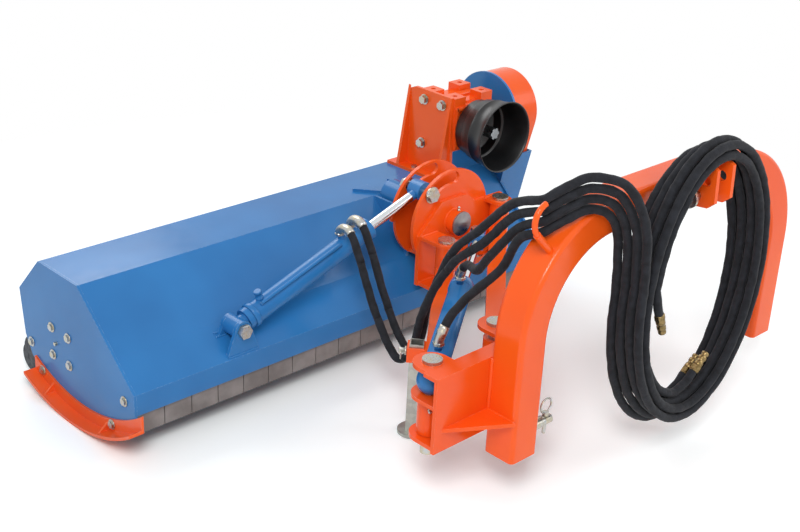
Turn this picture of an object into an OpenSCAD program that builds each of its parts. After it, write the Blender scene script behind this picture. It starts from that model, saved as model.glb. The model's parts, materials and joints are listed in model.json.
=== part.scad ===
// Side-shift flail mower on a three-point bow.
// X runs along the deck, the outer end at low X. Y runs rearward, away from the tractor. Z is up.

/* [Deck] */
// Length over the two end plates
deck_len = 1500; // [1300:10:1700]
// Height of the flat deck top over the ground
deck_top = 380; // [370:1:390]
// Thickness of the folded deck sheet
sheet_t = 4; // [3:0.5:5]
// Thickness of the end plates
plate_t = 8; // [6:1:10]
// Radius that the flail tips sweep
flail_tip_r = 108; // [100:1:110]
// Radius of the rear roller
roller_r = 58; // [50:1:60]
// Number of rubber flaps along the front lip
flap_count = 18; // [14:1:20]

/* [Hitch] */
// Width over the two legs of the bow
bow_w = 1105; // [1080:5:1140]
// Side of the square bow tube
tube_w = 90; // [80:1:95]
// Height of the bow over the ground
bow_top = 726; // [715:1:740]
// Radius of the lower link pins
link_pin_r = 14; // [11:0.5:14]
// Radius of the top link bores
top_link_r = 12.8; // [9.5:0.1:12.9]

/* [Arms] */
// Centre distance of the pivots of each swing arm
arm_len = 739; // [720:1:750]
// Angle of the arms from the deck's length in the parked pose
arm_angle = 42; // [41:0.5:43]
// Radius of the arm pivot pins
pivot_r = 17; // [14:1:18]

/* [Tilt] */
// Radius of the tilt plates
tilt_plate_r = 150; // [140:1:152]
// Radius of the circle on which the cylinder's pin runs
tilt_pin_radius = 126; // [120:1:126]
// Angle that the deck can float up along the slot
float_angle = 45; // [20:1:45]

/* [Hidden] */
$fn = 64;

// Running gap between pieces that turn or slide on each other
gap = 0.4;
// Overrun of a cut past the face that it opens
over = 2;
// Common bolt: half the width across flats of the head, its height and its shank
bolt_r = 10;
bolt_h = 7;

// Overall reach of the parked machine, which centres the frame
x_min = -42;
x_max = 1650;
y_min = -863;
roller_y = 520;
y_max = roller_y + roller_r;
mid_x = (x_min + x_max) / 2;
mid_y = (y_min + y_max) / 2;

// Deck section in Y and Z: front lip, fold, top and back
lip_low = 114;
lip_top = 172;
fold = [92, 236];
top_front = [241, deck_top];
top_back = [427, deck_top];
back_up = [537, 265];
tail = [521, 134];
tail_low = [478, 59];
section = [[0, lip_low], [0, lip_top], fold, top_front, top_back, back_up, tail];
plate_low = 20;
plate_outline = [[0, plate_low], [0, lip_top], top_front, top_back, back_up, tail, tail_low,
    [tail_low[0], plate_low]];

// Skid runner: an arc under the end plate
skid_mid_y = 255;
skid_r = 540;
skid_sole = 8;
skid_lip = 32;
skid_w = 42;
skid_web = 6;
skid_front = -40;
skid_back = 470;
skid_rib = 5;
skid_rib_h = 30;
skid_rib_y = [120, 380];

// Rotor, rear roller and their bearings
rotor_at = [338, 170];
rotor_r = 48;
rotor_in = 40;
shaft_r = 20;
bearing_flange = 56;
bearing_flange_t = 12;
bearing_r = 42;
bearing_len = 28;
bearing_bolt = 40;
roller_at = [roller_y, roller_r];
roller_wall = 6;
rotor_wall = 9;
drum_disc = 12;
vent_r = 4;
roller_in = 22;
roller_axle_r = 12;
bracket_t = 8;
bracket_r = 40;

// Flails: four rows of hammers on lugs
flail_per_row = 6;
flail_axis_r = 64;
flail_w = 90;
flail_pin_r = 6;
flail_eye_r = 12;
flail_tab = 24;
lug_t = 6;
lug_gap = 26;
lug_r = 14;

// Rubber flaps on a rod along the lip
flap_t = 5;
flap_low = 57;
flap_rod_r = 6;
flap_eye_r = 11;
flap_gap = 3;
flap_axis = [18, 128];

// Tilt hinge and its parts
hinge = [1070, 370];
tilt_shaft_r = 30;
tilt_front = -10;
tilt_plate_t = 10;
tilt_back = 76;
tilt_pin_angle = 131.6;
tilt_pin_r = 13;
slot_play = 4.8;
tilt_back_r = 136;
tilt_pin_at = hinge + tilt_pin_radius * [cos(tilt_pin_angle), sin(tilt_pin_angle)];
tilt_mid = (tilt_front + tilt_plate_t + tilt_back) / 2;
lug_at = [338, 240];
tilt_len = norm(tilt_pin_at - lug_at);
tilt_angle = atan2(tilt_pin_at[1] - lug_at[1], tilt_pin_at[0] - lug_at[0]);
barrel_r = 30;
barrel_wall = 6;
barrel_len = 480;
eye_r = 26;
eye_w = 44;
barrel_in = eye_r + 2 * over;
rod_r = 14;
rod_eye_r = 28;
gland_len = 34;
gland_r = 33;
tilt_ports = [barrel_len - 1.5 * gland_len, barrel_len - 2.7 * gland_len];
port_top = barrel_r - over + 2 * bolt_h;
boss_r = 36;
boss_front = -52;
shaft_back = 196;
shaft_cap = 4;

// Swing arms in plan: tractor ends a0 and b0, deck ends a1 and b1
a1 = [974.2, -90.5];
arm_step = [256, 38];
arm_dir = [cos(arm_angle), sin(arm_angle)];
arm_side = [-arm_dir[1], arm_dir[0]];
a0 = a1 - arm_len * arm_dir;
b0 = a0 + arm_step;
b1 = a1 + arm_step;
arm_w = 50;
arm_wall = 6;
bush_r = 29;
arm_a_z = [214, 274];
bush_a0_z = [190, 281];
bush_a1_z = [214, 340];
arm_b_z = [268, 328];
bush_b0_z = [238, 336];
bush_b1_z = [268, 396];

// Headstock bracket
leg_x = [x_max - bow_w, x_max - tube_w];
bow_mid = x_max - bow_w / 2;
bow_ahead = 161;
bow_y = a0[1] - bow_ahead;
bow_low = 123;
bow_bend = 308;
bow_wall = 6;
bow_corner = 12;
web_y = bow_y + tube_w;
web_t = 10;
ear_r = 45;
flange_t = 10;
top_flange_z = 364;
mid_flange_z = 284;
low_flange_z = 178;
b_flange_z = 226;
gusset_z = 228;
web_reach = 53;
web_left = a0[0] - web_reach;
pin_head_r = 24;
pin_head_h = 8;

// Side-shift cylinder
shift_z = 325;
shift_pin_at = [1100, -90];
shift_len = norm(shift_pin_at - a0);
shift_angle = atan2(shift_pin_at[1] - a0[1], shift_pin_at[0] - a0[0]);
shift_barrel_len = 520;
shift_block = 44;
shift_play = 5;
shift_eye_h = 58;
shift_bolt_r = 12;
shift_ports = [shift_barrel_len - 1.5 * gland_len, 2 * barrel_r + gland_len];

// Mount between the arms and the tilt hinge
mount_t = 12;
mount_y = tilt_front - mount_t;
mount_ear_r = 34;
mount_ear_t = 10;
ear_a_z = [202, 342];
ear_b_z = [256, 398];
shift_lug_z = shift_z - shift_block / 2 - mount_ear_t - gap;

// Parking stand beside the outer arm
stand_along = 300;
leg_w = 36;
leg_wall = 3;
leg_top = 262;
sleeve_w = 48;
sleeve_z = [214, 254];
foot_r = 40;
foot_t = 8;
stand_off = (arm_w + sleeve_w) / 2;
stand_at = a0 + stand_along * arm_dir + stand_off * arm_side;
stand_hole_r = 7;
stand_hole_step = 60;
stand_holes = 4;
stand_pin_z = 236;
stand_pin_r = 7;

// Hitch pins
link_pin_len = 92;
link_pin_z = 164;
link_collar_r = 24;
link_collar_t = 10;
lynch_r = 5;
lynch_at = 76;
lynch_len = 60;
lynch_head_r = 8;
lynch_head_h = 10;
nose_step = 1.6;
link_nose_r = link_pin_r - nose_step;
link_seat_end = lynch_at - lynch_head_r - over;
ring_r = 19;
ring_wire = 2.5;
top_ear_t = 12;
top_ear_gap = 52;
top_pin_ahead = 66;
top_hole_ahead = 87;
top_pin_at = [bow_y - top_pin_ahead, 700];
top_hole_at = [bow_y - top_hole_ahead, 742];
top_pin_reach = 26;

// Gearbox and belt drive
gear_in = 150;
gear_at = [deck_len - gear_in, 262, 541];
gear_w = 170;
gear_d = 140;
gear_h = 140;
gear_boss = 48;
gear_boss_h = 26;
gear_tap_r = 8;
gear_tap = 20;
guard_r = 84;
guard_front = 50;
guard_base = 178;
guard_neck_r = 66;
guard_wall = 3;
spline_r = 17.4;
spline_root = 14.4;
spline_w = 8.6;
spline_n = 6;
pto_tip = 92;
out_r = 19;
belt_n = 3;
belt_pitch = 17;
belt_w = 12;
belt_t = 9;
belt_x = deck_len + 24;
upper_pulley_r = 72;
lower_pulley_r = 58;
pulley_rim = 6;
pulley_w = belt_n * belt_pitch + pulley_rim;
groove_in = 4;
groove_play = 2;
belt_gap = 0.6;
back_r = 125;
cover_r = 121;
cover_len = 96;
cover_wall = 3;
cover_low_r = 104;
cover_low_z = 330;
case_r = 118;
case_wall = 4;
case_top = 413;
case_len = 108;
case_low = 56;
web_in = 238;
web_bolt_r = 13;
web_bolt_h = 11;
web_washer = 3;
web_x = deck_len - web_in;
web_foot = 40;
web_top = 640;

// Colours of the paint and metals
blue = "#3f7cb8";
orange = "#f0582a";
zinc = "#c3c6c8";
steel = "#9aa0a4";
chrome = "#d9dcde";
black = "#1c1d1f";
rubber = "#7d7472";
dark = "#3a3c3f";

module plate_x(x0, t) {
    translate([x0, 0, 0]) rotate([90, 0, 90]) linear_extrude(t) children();
}
module plate_y(y0, t) {
    translate([0, y0 + t, 0]) rotate([90, 0, 0]) linear_extrude(t) children();
}
module plate_z(z0, t) {
    translate([0, 0, z0]) linear_extrude(t) children();
}
module rod_x(p, r, l) {
    translate(p) rotate([0, 90, 0]) cylinder(r = r, h = l);
}
module rod_y(p, r, l) {
    translate(p) rotate([-90, 0, 0]) cylinder(r = r, h = l);
}
module rod_z(p, r, l) {
    translate(p) cylinder(r = r, h = l);
}
module hex_x(p, r, l) {
    translate(p) rotate([0, 90, 0]) cylinder(r = r, h = l, $fn = 6);
}
module hex_y(p, r, l) {
    translate(p) rotate([-90, 0, 0]) cylinder(r = r, h = l, $fn = 6);
}
module hex_z(p, r, l) {
    translate(p) cylinder(r = r, h = l, $fn = 6);
}
module dot(p, r) {
    translate(p) circle(r);
}

// Mitred offset of an open outline, which makes the second face of a folded sheet
function unit(v) = v / norm(v);
function side(v) = [v[1], -v[0]];
function mitre(p, i, t) =
    let (
        last = len(p) - 1,
        before = side(unit(p[max(i, 1)] - p[max(i, 1) - 1])),
        after = side(unit(p[min(i + 1, last)] - p[min(i + 1, last) - 1]))
    )
    p[i] + t * (before + after) / (1 + before * after);
function sheet(p, t) = concat(p, [for (i = [len(p) - 1 : -1 : 0]) mitre(p, i, t)]);

// Tangent loop round two circles, for belts and their covers
module loop_2d(p, ra, q, rb) {
    line = unit(q - p);
    lean = acos((ra - rb) / norm(q - p));
    turn = function (v, a) [v[0] * cos(a) - v[1] * sin(a), v[0] * sin(a) + v[1] * cos(a)];
    dot(p, ra);
    dot(q, rb);
    polygon([p + ra * turn(line, lean), p + ra * turn(line, -lean),
        q + rb * turn(line, -lean), q + rb * turn(line, lean)]);
}

gear_yz = [gear_at[1], gear_at[2]];

// Bow of bent square tube with rounded corners, open at the feet
module rounded_square(w, r) {
    square([w, w - 2 * r], center = true);
    square([w - 2 * r, w], center = true);
    for (x = [-1, 1], y = [-1, 1]) dot([x, y] * (w / 2 - r), r);
}
module bow_tube(w, r, low) {
    run = bow_w / 2 - bow_bend;
    translate([bow_mid, bow_y + tube_w / 2, 0]) {
        translate([-run, 0, bow_top - tube_w / 2]) rotate([0, 90, 0])
            linear_extrude(2 * run) rounded_square(w, r);
        for (s = [0, 1]) mirror([s, 0, 0]) {
            translate([run, 0, bow_top - bow_bend]) rotate([90, 0, 0])
                rotate_extrude(angle = 90) translate([bow_bend - tube_w / 2, 0]) rounded_square(w, r);
            translate([bow_w / 2 - tube_w / 2, 0, low])
                linear_extrude(bow_top - bow_bend - low) rounded_square(w, r);
        }
    }
}
module bow_frame() {
    color(orange)
    difference() {
        bow_tube(tube_w, bow_corner, bow_low);
        bow_tube(tube_w - 2 * bow_wall, bow_corner - bow_wall, bow_low - over);
    }
}

// Folded bracket with the ears of both arms
module ear_2d(p) {
    dot(p, ear_r);
    translate([p[0] - ear_r, web_y]) square([2 * ear_r, p[1] - web_y]);
}
module flange_2d() {
    ear_2d(a0);
    ear_2d(b0);
    translate([web_left, web_y]) square([b0[0] + ear_r - web_left, ear_r]);
}
module side_bracket() {
    color(orange)
    difference() {
        union() {
            plate_y(web_y, web_t) translate([web_left, low_flange_z])
                square([b0[0] + ear_r - web_left, top_flange_z + flange_t - low_flange_z]);
            plate_z(top_flange_z, flange_t) flange_2d();
            plate_z(mid_flange_z, flange_t) ear_2d(a0);
            plate_z(low_flange_z, flange_t) ear_2d(a0);
            plate_z(b_flange_z, flange_t) ear_2d(b0);
            plate_z(gusset_z, flange_t)
                polygon([[leg_x[0], web_y], [leg_x[0], bow_y], [web_left + ear_r / 2, web_y]]);
        }
        for (p = [a0, b0]) rod_z([p[0], p[1], low_flange_z - over], pivot_r, top_flange_z);
    }
}

// Headed pins of the tractor-side pivots, with a nut under the lower ear
module pivot_pin(p, low, top) {
    rod_z([p[0], p[1], low], pivot_r, top - low);
    rod_z([p[0], p[1], top], pin_head_r, pin_head_h);
}
module arm_pivot_pins() {
    color(zinc) {
        pivot_pin(a0, low_flange_z - ear_r, top_flange_z + flange_t);
        hex_z([a0[0], a0[1], low_flange_z - 2 * flange_t], pin_head_r, 2 * flange_t);
        pivot_pin(b0, b_flange_z - ear_r / 2, top_flange_z + flange_t);
    }
}

// Two ears for the top link on the front of the bow
top_ear_steps = [[0, 640], [-54, 672], [-99, 677], [-117, 693], [-114, 775], [-84, 790]];
top_ear_outline = concat([for (p = top_ear_steps) [bow_y + p[0], p[1]]], [[bow_y, bow_top + over]]);
module top_link_ears() {
    color(orange)
    for (s = [-1, 1])
        plate_x(bow_mid + s * (top_ear_gap + top_ear_t) / 2 - top_ear_t / 2, top_ear_t)
            difference() {
                polygon(top_ear_outline);
                dot(top_pin_at, top_link_r);
                dot(top_hole_at, top_link_r);
            }
}
top_pin_half = top_ear_gap / 2 + top_ear_t + top_pin_reach;
module top_link_pin() {
    color(zinc) {
        rod_x([bow_mid - top_pin_half, top_pin_at[0], top_pin_at[1]], top_link_r - gap, 2 * top_pin_half);
        rod_x([bow_mid - top_pin_half - pin_head_h, top_pin_at[0], top_pin_at[1]], pin_head_r, pin_head_h);
    }
}

// Pins for the lower links, which point at each other from the two legs
link_y = bow_y + tube_w / 2;
module link_pin(x0, way) {
    mirror([way < 0 ? 1 : 0, 0, 0])
    difference() {
        union() {
            rod_x([way * x0, link_y, link_pin_z], link_nose_r, link_pin_len);
            rod_x([way * x0, link_y, link_pin_z], link_pin_r, link_seat_end);
            rod_x([way * x0, link_y, link_pin_z], link_collar_r, link_collar_t);
        }
        rod_z([way * x0 + lynch_at, link_y, link_pin_z - link_collar_r], lynch_r + gap, 2 * link_collar_r);
    }
}
module lower_link_pins() {
    color(zinc) {
        link_pin(leg_x[0] + tube_w, 1);
        link_pin(leg_x[1], -1);
    }
}
module lynch_pin(x) {
    base = link_pin_z + link_nose_r + gap;
    color(zinc) {
        rod_z([x, link_y, base - lynch_len + lynch_head_h], lynch_r, lynch_len);
        rod_z([x, link_y, base], lynch_head_r, lynch_head_h);
        translate([x, link_y, base + lynch_head_h + ring_r - ring_wire]) rotate([90, 0, 0])
            rotate_extrude() dot([ring_r, 0], ring_wire);
    }
}
module lynch_pin_left() { lynch_pin(leg_x[0] + tube_w + lynch_at); }
module lynch_pin_right() { lynch_pin(leg_x[1] - lynch_at); }

// Open hook of round bar on the shoulder of the bow
guide_bar = 7;
guide_stub = 9;
guide_r = 42;
guide_angle = 134;
guide_in = 24;
guide_y = bow_y + guide_in;
guide_tall = 70;
guide_turn = 120;
bend_at = [bow_mid - bow_w / 2 + bow_bend, bow_top - bow_bend];
guide_at = bend_at + bow_bend * [cos(guide_angle), sin(guide_angle)];
module hose_guide() {
    color(orange)
    translate([guide_at[0], guide_y, guide_at[1]]) rotate([0, 90 - guide_angle, 0]) {
        cylinder(r = guide_stub, h = guide_tall + over);
        translate([0, 0, guide_tall]) rotate([90, 0, 0]) translate([guide_r, 0, 0])
            rotate([0, 0, 180 - guide_turn]) rotate_extrude(angle = guide_turn) dot([guide_r, 0], guide_bar);
    }
}

// Swing arms of box tube with a bush at each end and a drain hole underneath
arm_in = bush_r + arm_wall;
module arm(p, tube_z, bush0_z, bush1_z) {
    q = p + arm_len * arm_dir;
    difference() {
        union() {
            translate([p[0], p[1], tube_z[0]]) rotate([0, 0, arm_angle]) translate([0, -arm_w / 2, 0])
                cube([arm_len, arm_w, tube_z[1] - tube_z[0]]);
            rod_z([p[0], p[1], bush0_z[0]], bush_r, bush0_z[1] - bush0_z[0]);
            rod_z([q[0], q[1], bush1_z[0]], bush_r, bush1_z[1] - bush1_z[0]);
        }
        rod_z([p[0], p[1], bush0_z[0] - over], pivot_r + gap, bush0_z[1]);
        rod_z([q[0], q[1], bush1_z[0] - over], pivot_r + gap, bush1_z[1]);
        translate([p[0], p[1], tube_z[0] + arm_wall]) rotate([0, 0, arm_angle])
            translate([arm_in, arm_wall - arm_w / 2, 0])
                cube([arm_len - 2 * arm_in, arm_w - 2 * arm_wall, tube_z[1] - tube_z[0] - 2 * arm_wall]);
        rod_z([(p[0] + q[0]) / 2, (p[1] + q[1]) / 2, tube_z[0] - over], vent_r, arm_wall + 2 * over);
    }
}
module outer_arm() { color(orange) arm(a0, arm_a_z, bush_a0_z, bush_a1_z); }
module inner_arm() { color(orange) arm(b0, arm_b_z, bush_b0_z, bush_b1_z); }

// Parking stand: sleeve on the arm, leg with holes and foot, and a sprung lock pin
module at_stand(z) {
    translate([stand_at[0], stand_at[1], z]) rotate([0, 0, arm_angle]) children();
}
module square_tube(w, wall, z0, z1) {
    at_stand(z0) linear_extrude(z1 - z0)
        difference() {
            square(w, center = true);
            square(w - 2 * wall, center = true);
        }
}
module stand_sleeve() {
    color(orange)
    difference() {
        square_tube(sleeve_w, (sleeve_w - leg_w) / 2 - gap, sleeve_z[0], sleeve_z[1]);
        at_stand(stand_pin_z) rotate([-90, 0, 0]) cylinder(r = stand_pin_r + gap, h = sleeve_w);
    }
}
module stand_leg() {
    color(steel) {
        difference() {
            square_tube(leg_w, leg_wall, foot_t, leg_top);
            for (i = [0 : stand_holes - 1])
                at_stand(stand_pin_z - i * stand_hole_step) rotate([-90, 0, 0])
                    translate([0, 0, -sleeve_w / 2]) cylinder(r = stand_hole_r, h = sleeve_w);
        }
        at_stand(0) cylinder(r = foot_r, h = foot_t);
    }
}
module stand_lock_pin() {
    color(zinc)
    at_stand(stand_pin_z) rotate([-90, 0, 0]) translate([0, 0, leg_w / 2 + gap]) {
        cylinder(r = stand_pin_r, h = sleeve_w);
        translate([0, 0, sleeve_w]) cylinder(r = pin_head_r / 2, h = pin_head_h);
    }
}

// Side-shift cylinder in plan
module at_shift() {
    translate([a0[0], a0[1], shift_z]) rotate([0, 0, shift_angle]) rotate([0, 90, 0]) children();
}
module port(z, r) {
    translate([-r, 0, z]) rotate([0, -90, 0]) cylinder(r = bolt_r, h = bolt_h * 2);
}
module shift_barrel() {
    color(blue)
    difference() {
        union() {
            at_shift() cylinder(r = barrel_r, h = shift_barrel_len);
            at_shift() translate([0, 0, shift_barrel_len - gland_len]) cylinder(r = gland_r, h = gland_len);
            for (along = shift_ports) at_shift() port(along, barrel_r - over);
            rod_z([a0[0], a0[1], shift_z - shift_eye_h / 2], barrel_r + over, shift_eye_h);
        }
        rod_z([a0[0], a0[1], shift_z - shift_eye_h], pivot_r + gap, 2 * shift_eye_h);
        at_shift() translate([0, 0, 2 * barrel_r])
            cylinder(r = barrel_r - barrel_wall / 2, h = shift_barrel_len - 2 * barrel_r - gland_len);
        at_shift() translate([0, 0, shift_barrel_len / 2]) cylinder(r = rod_r + shift_play, h = shift_barrel_len);
    }
}
module shift_rod() {
    inside = shift_len - 2 * barrel_r - 3 * gland_len;
    color(chrome)
    at_shift() translate([0, 0, shift_len - inside]) cylinder(r = rod_r, h = inside - shift_block / 2);
    color(blue)
    difference() {
        at_shift() translate([-shift_block / 2, -shift_block / 2, shift_len - shift_block / 2]) cube(shift_block);
        rod_z([shift_pin_at[0], shift_pin_at[1], shift_z - shift_block], shift_bolt_r + gap, 2 * shift_block);
    }
}
module shift_rod_bolt() {
    color(zinc) {
        rod_z([shift_pin_at[0], shift_pin_at[1], shift_lug_z - bolt_h], shift_bolt_r,
            shift_block + mount_ear_t + bolt_h + 2 * gap);
        hex_z([shift_pin_at[0], shift_pin_at[1], shift_z + shift_block / 2 + gap], bolt_r * 2, bolt_h * 2);
        hex_z([shift_pin_at[0], shift_pin_at[1], shift_lug_z - bolt_h * 2], bolt_r * 2, bolt_h * 2);
    }
}

// Mount: a back plate with two pairs of ears and the boss of the tilt hinge
mount_outline = [[935, 202], [1190, 202], [1272, 256], [1272, 408], [1160, 408], [1120, 438], [1020, 438],
    [935, 352]];
module mount_ear_2d(p) {
    dot(p, mount_ear_r);
    translate([p[0] - mount_ear_r, p[1]]) square([2 * mount_ear_r, mount_y + over - p[1]]);
}
module mount_frame() {
    color(orange)
    difference() {
        union() {
            plate_y(mount_y, mount_t) polygon(mount_outline);
            rod_y([hinge[0], boss_front, hinge[1]], boss_r, mount_y - boss_front + over);
            for (z = ear_a_z) plate_z(z, mount_ear_t) mount_ear_2d(a1);
            for (z = ear_b_z) plate_z(z, mount_ear_t) mount_ear_2d(b1);
            plate_z(shift_lug_z, mount_ear_t) mount_ear_2d(shift_pin_at);
        }
        rod_y([hinge[0], boss_front - over, hinge[1]], tilt_shaft_r + gap, -boss_front + 2 * over);
        rod_z([a1[0], a1[1], 0], pivot_r, bow_top);
        rod_z([b1[0], b1[1], 0], pivot_r, bow_top);
        rod_z([shift_pin_at[0], shift_pin_at[1], shift_lug_z - over], shift_bolt_r, mount_ear_t + 2 * over);
    }
}
module mount_pins() {
    color(zinc) {
        pivot_pin(a1, ear_a_z[0] - pin_head_h, ear_a_z[1] + mount_ear_t);
        pivot_pin(b1, ear_b_z[0] - pin_head_h, ear_b_z[1] + mount_ear_t);
    }
}

// Two round tilt plates with the curved slot of the cylinder's pin, joined by a strip
slot_half = tilt_pin_r + slot_play;
module slot_2d() {
    start = tilt_pin_angle - float_angle;
    difference() {
        circle(tilt_pin_radius + slot_half);
        circle(tilt_pin_radius - slot_half);
        rotate(start) translate([-2 * tilt_plate_r, -2 * tilt_plate_r]) square([4 * tilt_plate_r, 2 * tilt_plate_r]);
        rotate(tilt_pin_angle + 180) translate([-2 * tilt_plate_r, -2 * tilt_plate_r])
            square([4 * tilt_plate_r, 2 * tilt_plate_r]);
    }
    for (a = [start, tilt_pin_angle]) rotate(a) dot([tilt_pin_radius, 0], slot_half - gap);
}
tilt_cut = 112;
module tilt_plate_2d(r) {
    difference() {
        union() {
            circle(r);
            intersection() {
                circle(tilt_plate_r);
                translate([-tilt_plate_r, 0]) square(2 * tilt_plate_r);
            }
        }
        translate([-tilt_plate_r, -2 * tilt_plate_r - tilt_cut]) square(2 * tilt_plate_r);
        circle(tilt_shaft_r + gap);
        slot_2d();
    }
}
module tilt_plates() {
    color(orange) {
        plate_y(tilt_front, tilt_plate_t) translate(hinge) tilt_plate_2d(tilt_plate_r);
        plate_y(tilt_back, tilt_plate_t) translate(hinge) tilt_plate_2d(tilt_back_r);
        plate_y(tilt_front + tilt_plate_t, tilt_back - tilt_front - tilt_plate_t)
            translate(hinge - [tilt_plate_r / 2, tilt_cut]) square([tilt_plate_r, tilt_plate_t]);
    }
}
module tilt_shaft() {
    color(steel) {
        rod_y([hinge[0], boss_front - shaft_cap, hinge[1]], tilt_shaft_r, shaft_back - boss_front + shaft_cap);
        rod_y([hinge[0], boss_front - shaft_cap - gap, hinge[1]], boss_r, shaft_cap);
    }
}

// Folded deck sheet between the end plates
module deck_shell() {
    color(blue)
    plate_x(plate_t, deck_len - 2 * plate_t) polygon(sheet(section, sheet_t));
}
module plate_2d() {
    intersection() {
        polygon(plate_outline);
        dot([skid_mid_y, skid_r], skid_r - skid_sole - skid_lip / 2);
    }
}
module outer_end_plate() {
    color(blue)
    plate_x(0, plate_t) plate_2d();
}
module inner_end_plate() {
    color(blue)
    plate_x(deck_len - plate_t, plate_t)
        difference() {
            union() {
                plate_2d();
                loop_2d(gear_yz, back_r, rotor_at, back_r);
            }
            dot(rotor_at, bearing_r);
            dot(gear_yz, out_r + over);
        }
}

// Bolted skids: an arc runner with an upright flange and two ribs
module skid_arc(r_out, r_in) {
    intersection() {
        difference() {
            dot([skid_mid_y, skid_r], r_out);
            dot([skid_mid_y, skid_r], r_in);
        }
        translate([skid_front, 0]) square([skid_back - skid_front, skid_r / 2]);
    }
}
module skid(x0, way) {
    low = skid_r - skid_sole;
    plate_x(min(x0, x0 + way * skid_w), skid_w) skid_arc(skid_r, low);
    plate_x(min(x0, x0 + way * skid_web), skid_web) skid_arc(low + over, low - skid_lip);
    for (y = skid_rib_y)
        translate([x0, y, skid_r - sqrt(low * low - pow(y - skid_mid_y, 2)) - over])
            rotate([90, 0, 0]) linear_extrude(skid_rib)
                polygon([[0, 0], [way * (skid_w - skid_web), 0], [0, skid_rib_h]]);
}
module skids() {
    color(orange) {
        skid(0, -1);
        skid(deck_len, 1);
    }
}

// Roller plates inside the end plates
bracket_top = [[510, 126], [470, 118]];
module roller_brackets() {
    color(dark)
    for (x = [plate_t, deck_len - plate_t - bracket_t])
        plate_x(x, bracket_t)
            difference() {
                union() {
                    dot(roller_at, bracket_r);
                    polygon(concat([roller_at + [-bracket_r, 0], roller_at + [bracket_r, 0]], bracket_top));
                }
                dot(roller_at, roller_axle_r + gap);
            }
}
module rear_roller() {
    inner = roller_in + drum_disc;
    color(dark) {
        difference() {
            rod_x([roller_in, roller_at[0], roller_at[1]], roller_r, deck_len - 2 * roller_in);
            rod_x([inner, roller_at[0], roller_at[1]], roller_r - roller_wall, deck_len - 2 * inner);
            rod_x([0, roller_at[0] + roller_r / 2, roller_at[1]], vent_r, deck_len);
        }
        rod_x([plate_t + gap, roller_at[0], roller_at[1]], roller_axle_r, deck_len - 2 * plate_t - 2 * gap);
    }
}

// Rotor: tube with stub shafts and welded lugs, and hammers that hang on bolts
row_angle = 90;
flail_first = 110;
flail_spare = 160;
flail_pitch = (deck_len - 2 * rotor_in - flail_spare) / flail_per_row;
function flail_x(row, i) = rotor_in + flail_first + (i + row / 4) * flail_pitch;
module at_row(row, x) {
    translate([x, rotor_at[0], rotor_at[1]]) rotate([row * row_angle, 0, 0]) children();
}
module rotor_tube() {
    inner = rotor_in + drum_disc;
    color(dark) {
        difference() {
            union() {
                rod_x([rotor_in, rotor_at[0], rotor_at[1]], rotor_r, deck_len - 2 * rotor_in);
                for (row = [0 : 3], i = [0 : flail_per_row - 1], s = [-1, 1])
                    at_row(row, flail_x(row, i)) translate([s * lug_gap / 2 - (s < 0 ? lug_t : 0), 0, 0])
                        plate_x(0, lug_t) {
                            dot([0, flail_axis_r], lug_r);
                            translate([-lug_r, 0]) square([2 * lug_r, flail_axis_r]);
                        }
            }
            rod_x([inner, rotor_at[0], rotor_at[1]], rotor_r - rotor_wall, deck_len - 2 * inner);
            rod_x([0, rotor_at[0] + rotor_r * 0.6, rotor_at[1]], vent_r, deck_len);
            for (row = [0 : 3], i = [0 : flail_per_row - 1])
                at_row(row, flail_x(row, i)) rod_x([-lug_gap, 0, flail_axis_r], flail_pin_r, 2 * lug_gap);
        }
        rod_x([plate_t + gap, rotor_at[0], rotor_at[1]], shaft_r - gap, belt_x + pulley_w - plate_t - gap);
    }
}
module flail_bolts() {
    color(zinc)
    for (row = [0 : 3], i = [0 : flail_per_row - 1])
        at_row(row, flail_x(row, i)) {
            reach = lug_gap / 2 + lug_t;
            rod_x([-reach, 0, flail_axis_r], flail_pin_r, 2 * reach);
            hex_x([-reach - bolt_h, 0, flail_axis_r], bolt_r, bolt_h);
            hex_x([reach, 0, flail_axis_r], bolt_r, bolt_h);
        }
}
module flail(row, i) {
    at_row(row, flail_x(row, i))
    difference() {
        union() {
            rod_x([-flail_tab / 2, 0, flail_axis_r], flail_eye_r, flail_tab);
            translate([-flail_w / 2, -flail_eye_r / 2, flail_axis_r + lug_r + gap * 4])
                cube([flail_w, flail_eye_r, flail_tip_r - flail_axis_r - lug_r - gap * 4 - over]);
            translate([-flail_tab / 2, -flail_eye_r / 2, flail_axis_r])
                cube([flail_tab, flail_eye_r, lug_r + gap * 6]);
        }
        rod_x([-flail_w, 0, flail_axis_r], flail_pin_r + gap, 2 * flail_w);
    }
}
module flail_row(row) {
    color(steel) for (i = [0 : flail_per_row - 1]) flail(row, i);
}
module flail_row_1() { flail_row(0); }
module flail_row_2() { flail_row(1); }
module flail_row_3() { flail_row(2); }
module flail_row_4() { flail_row(3); }

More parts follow.
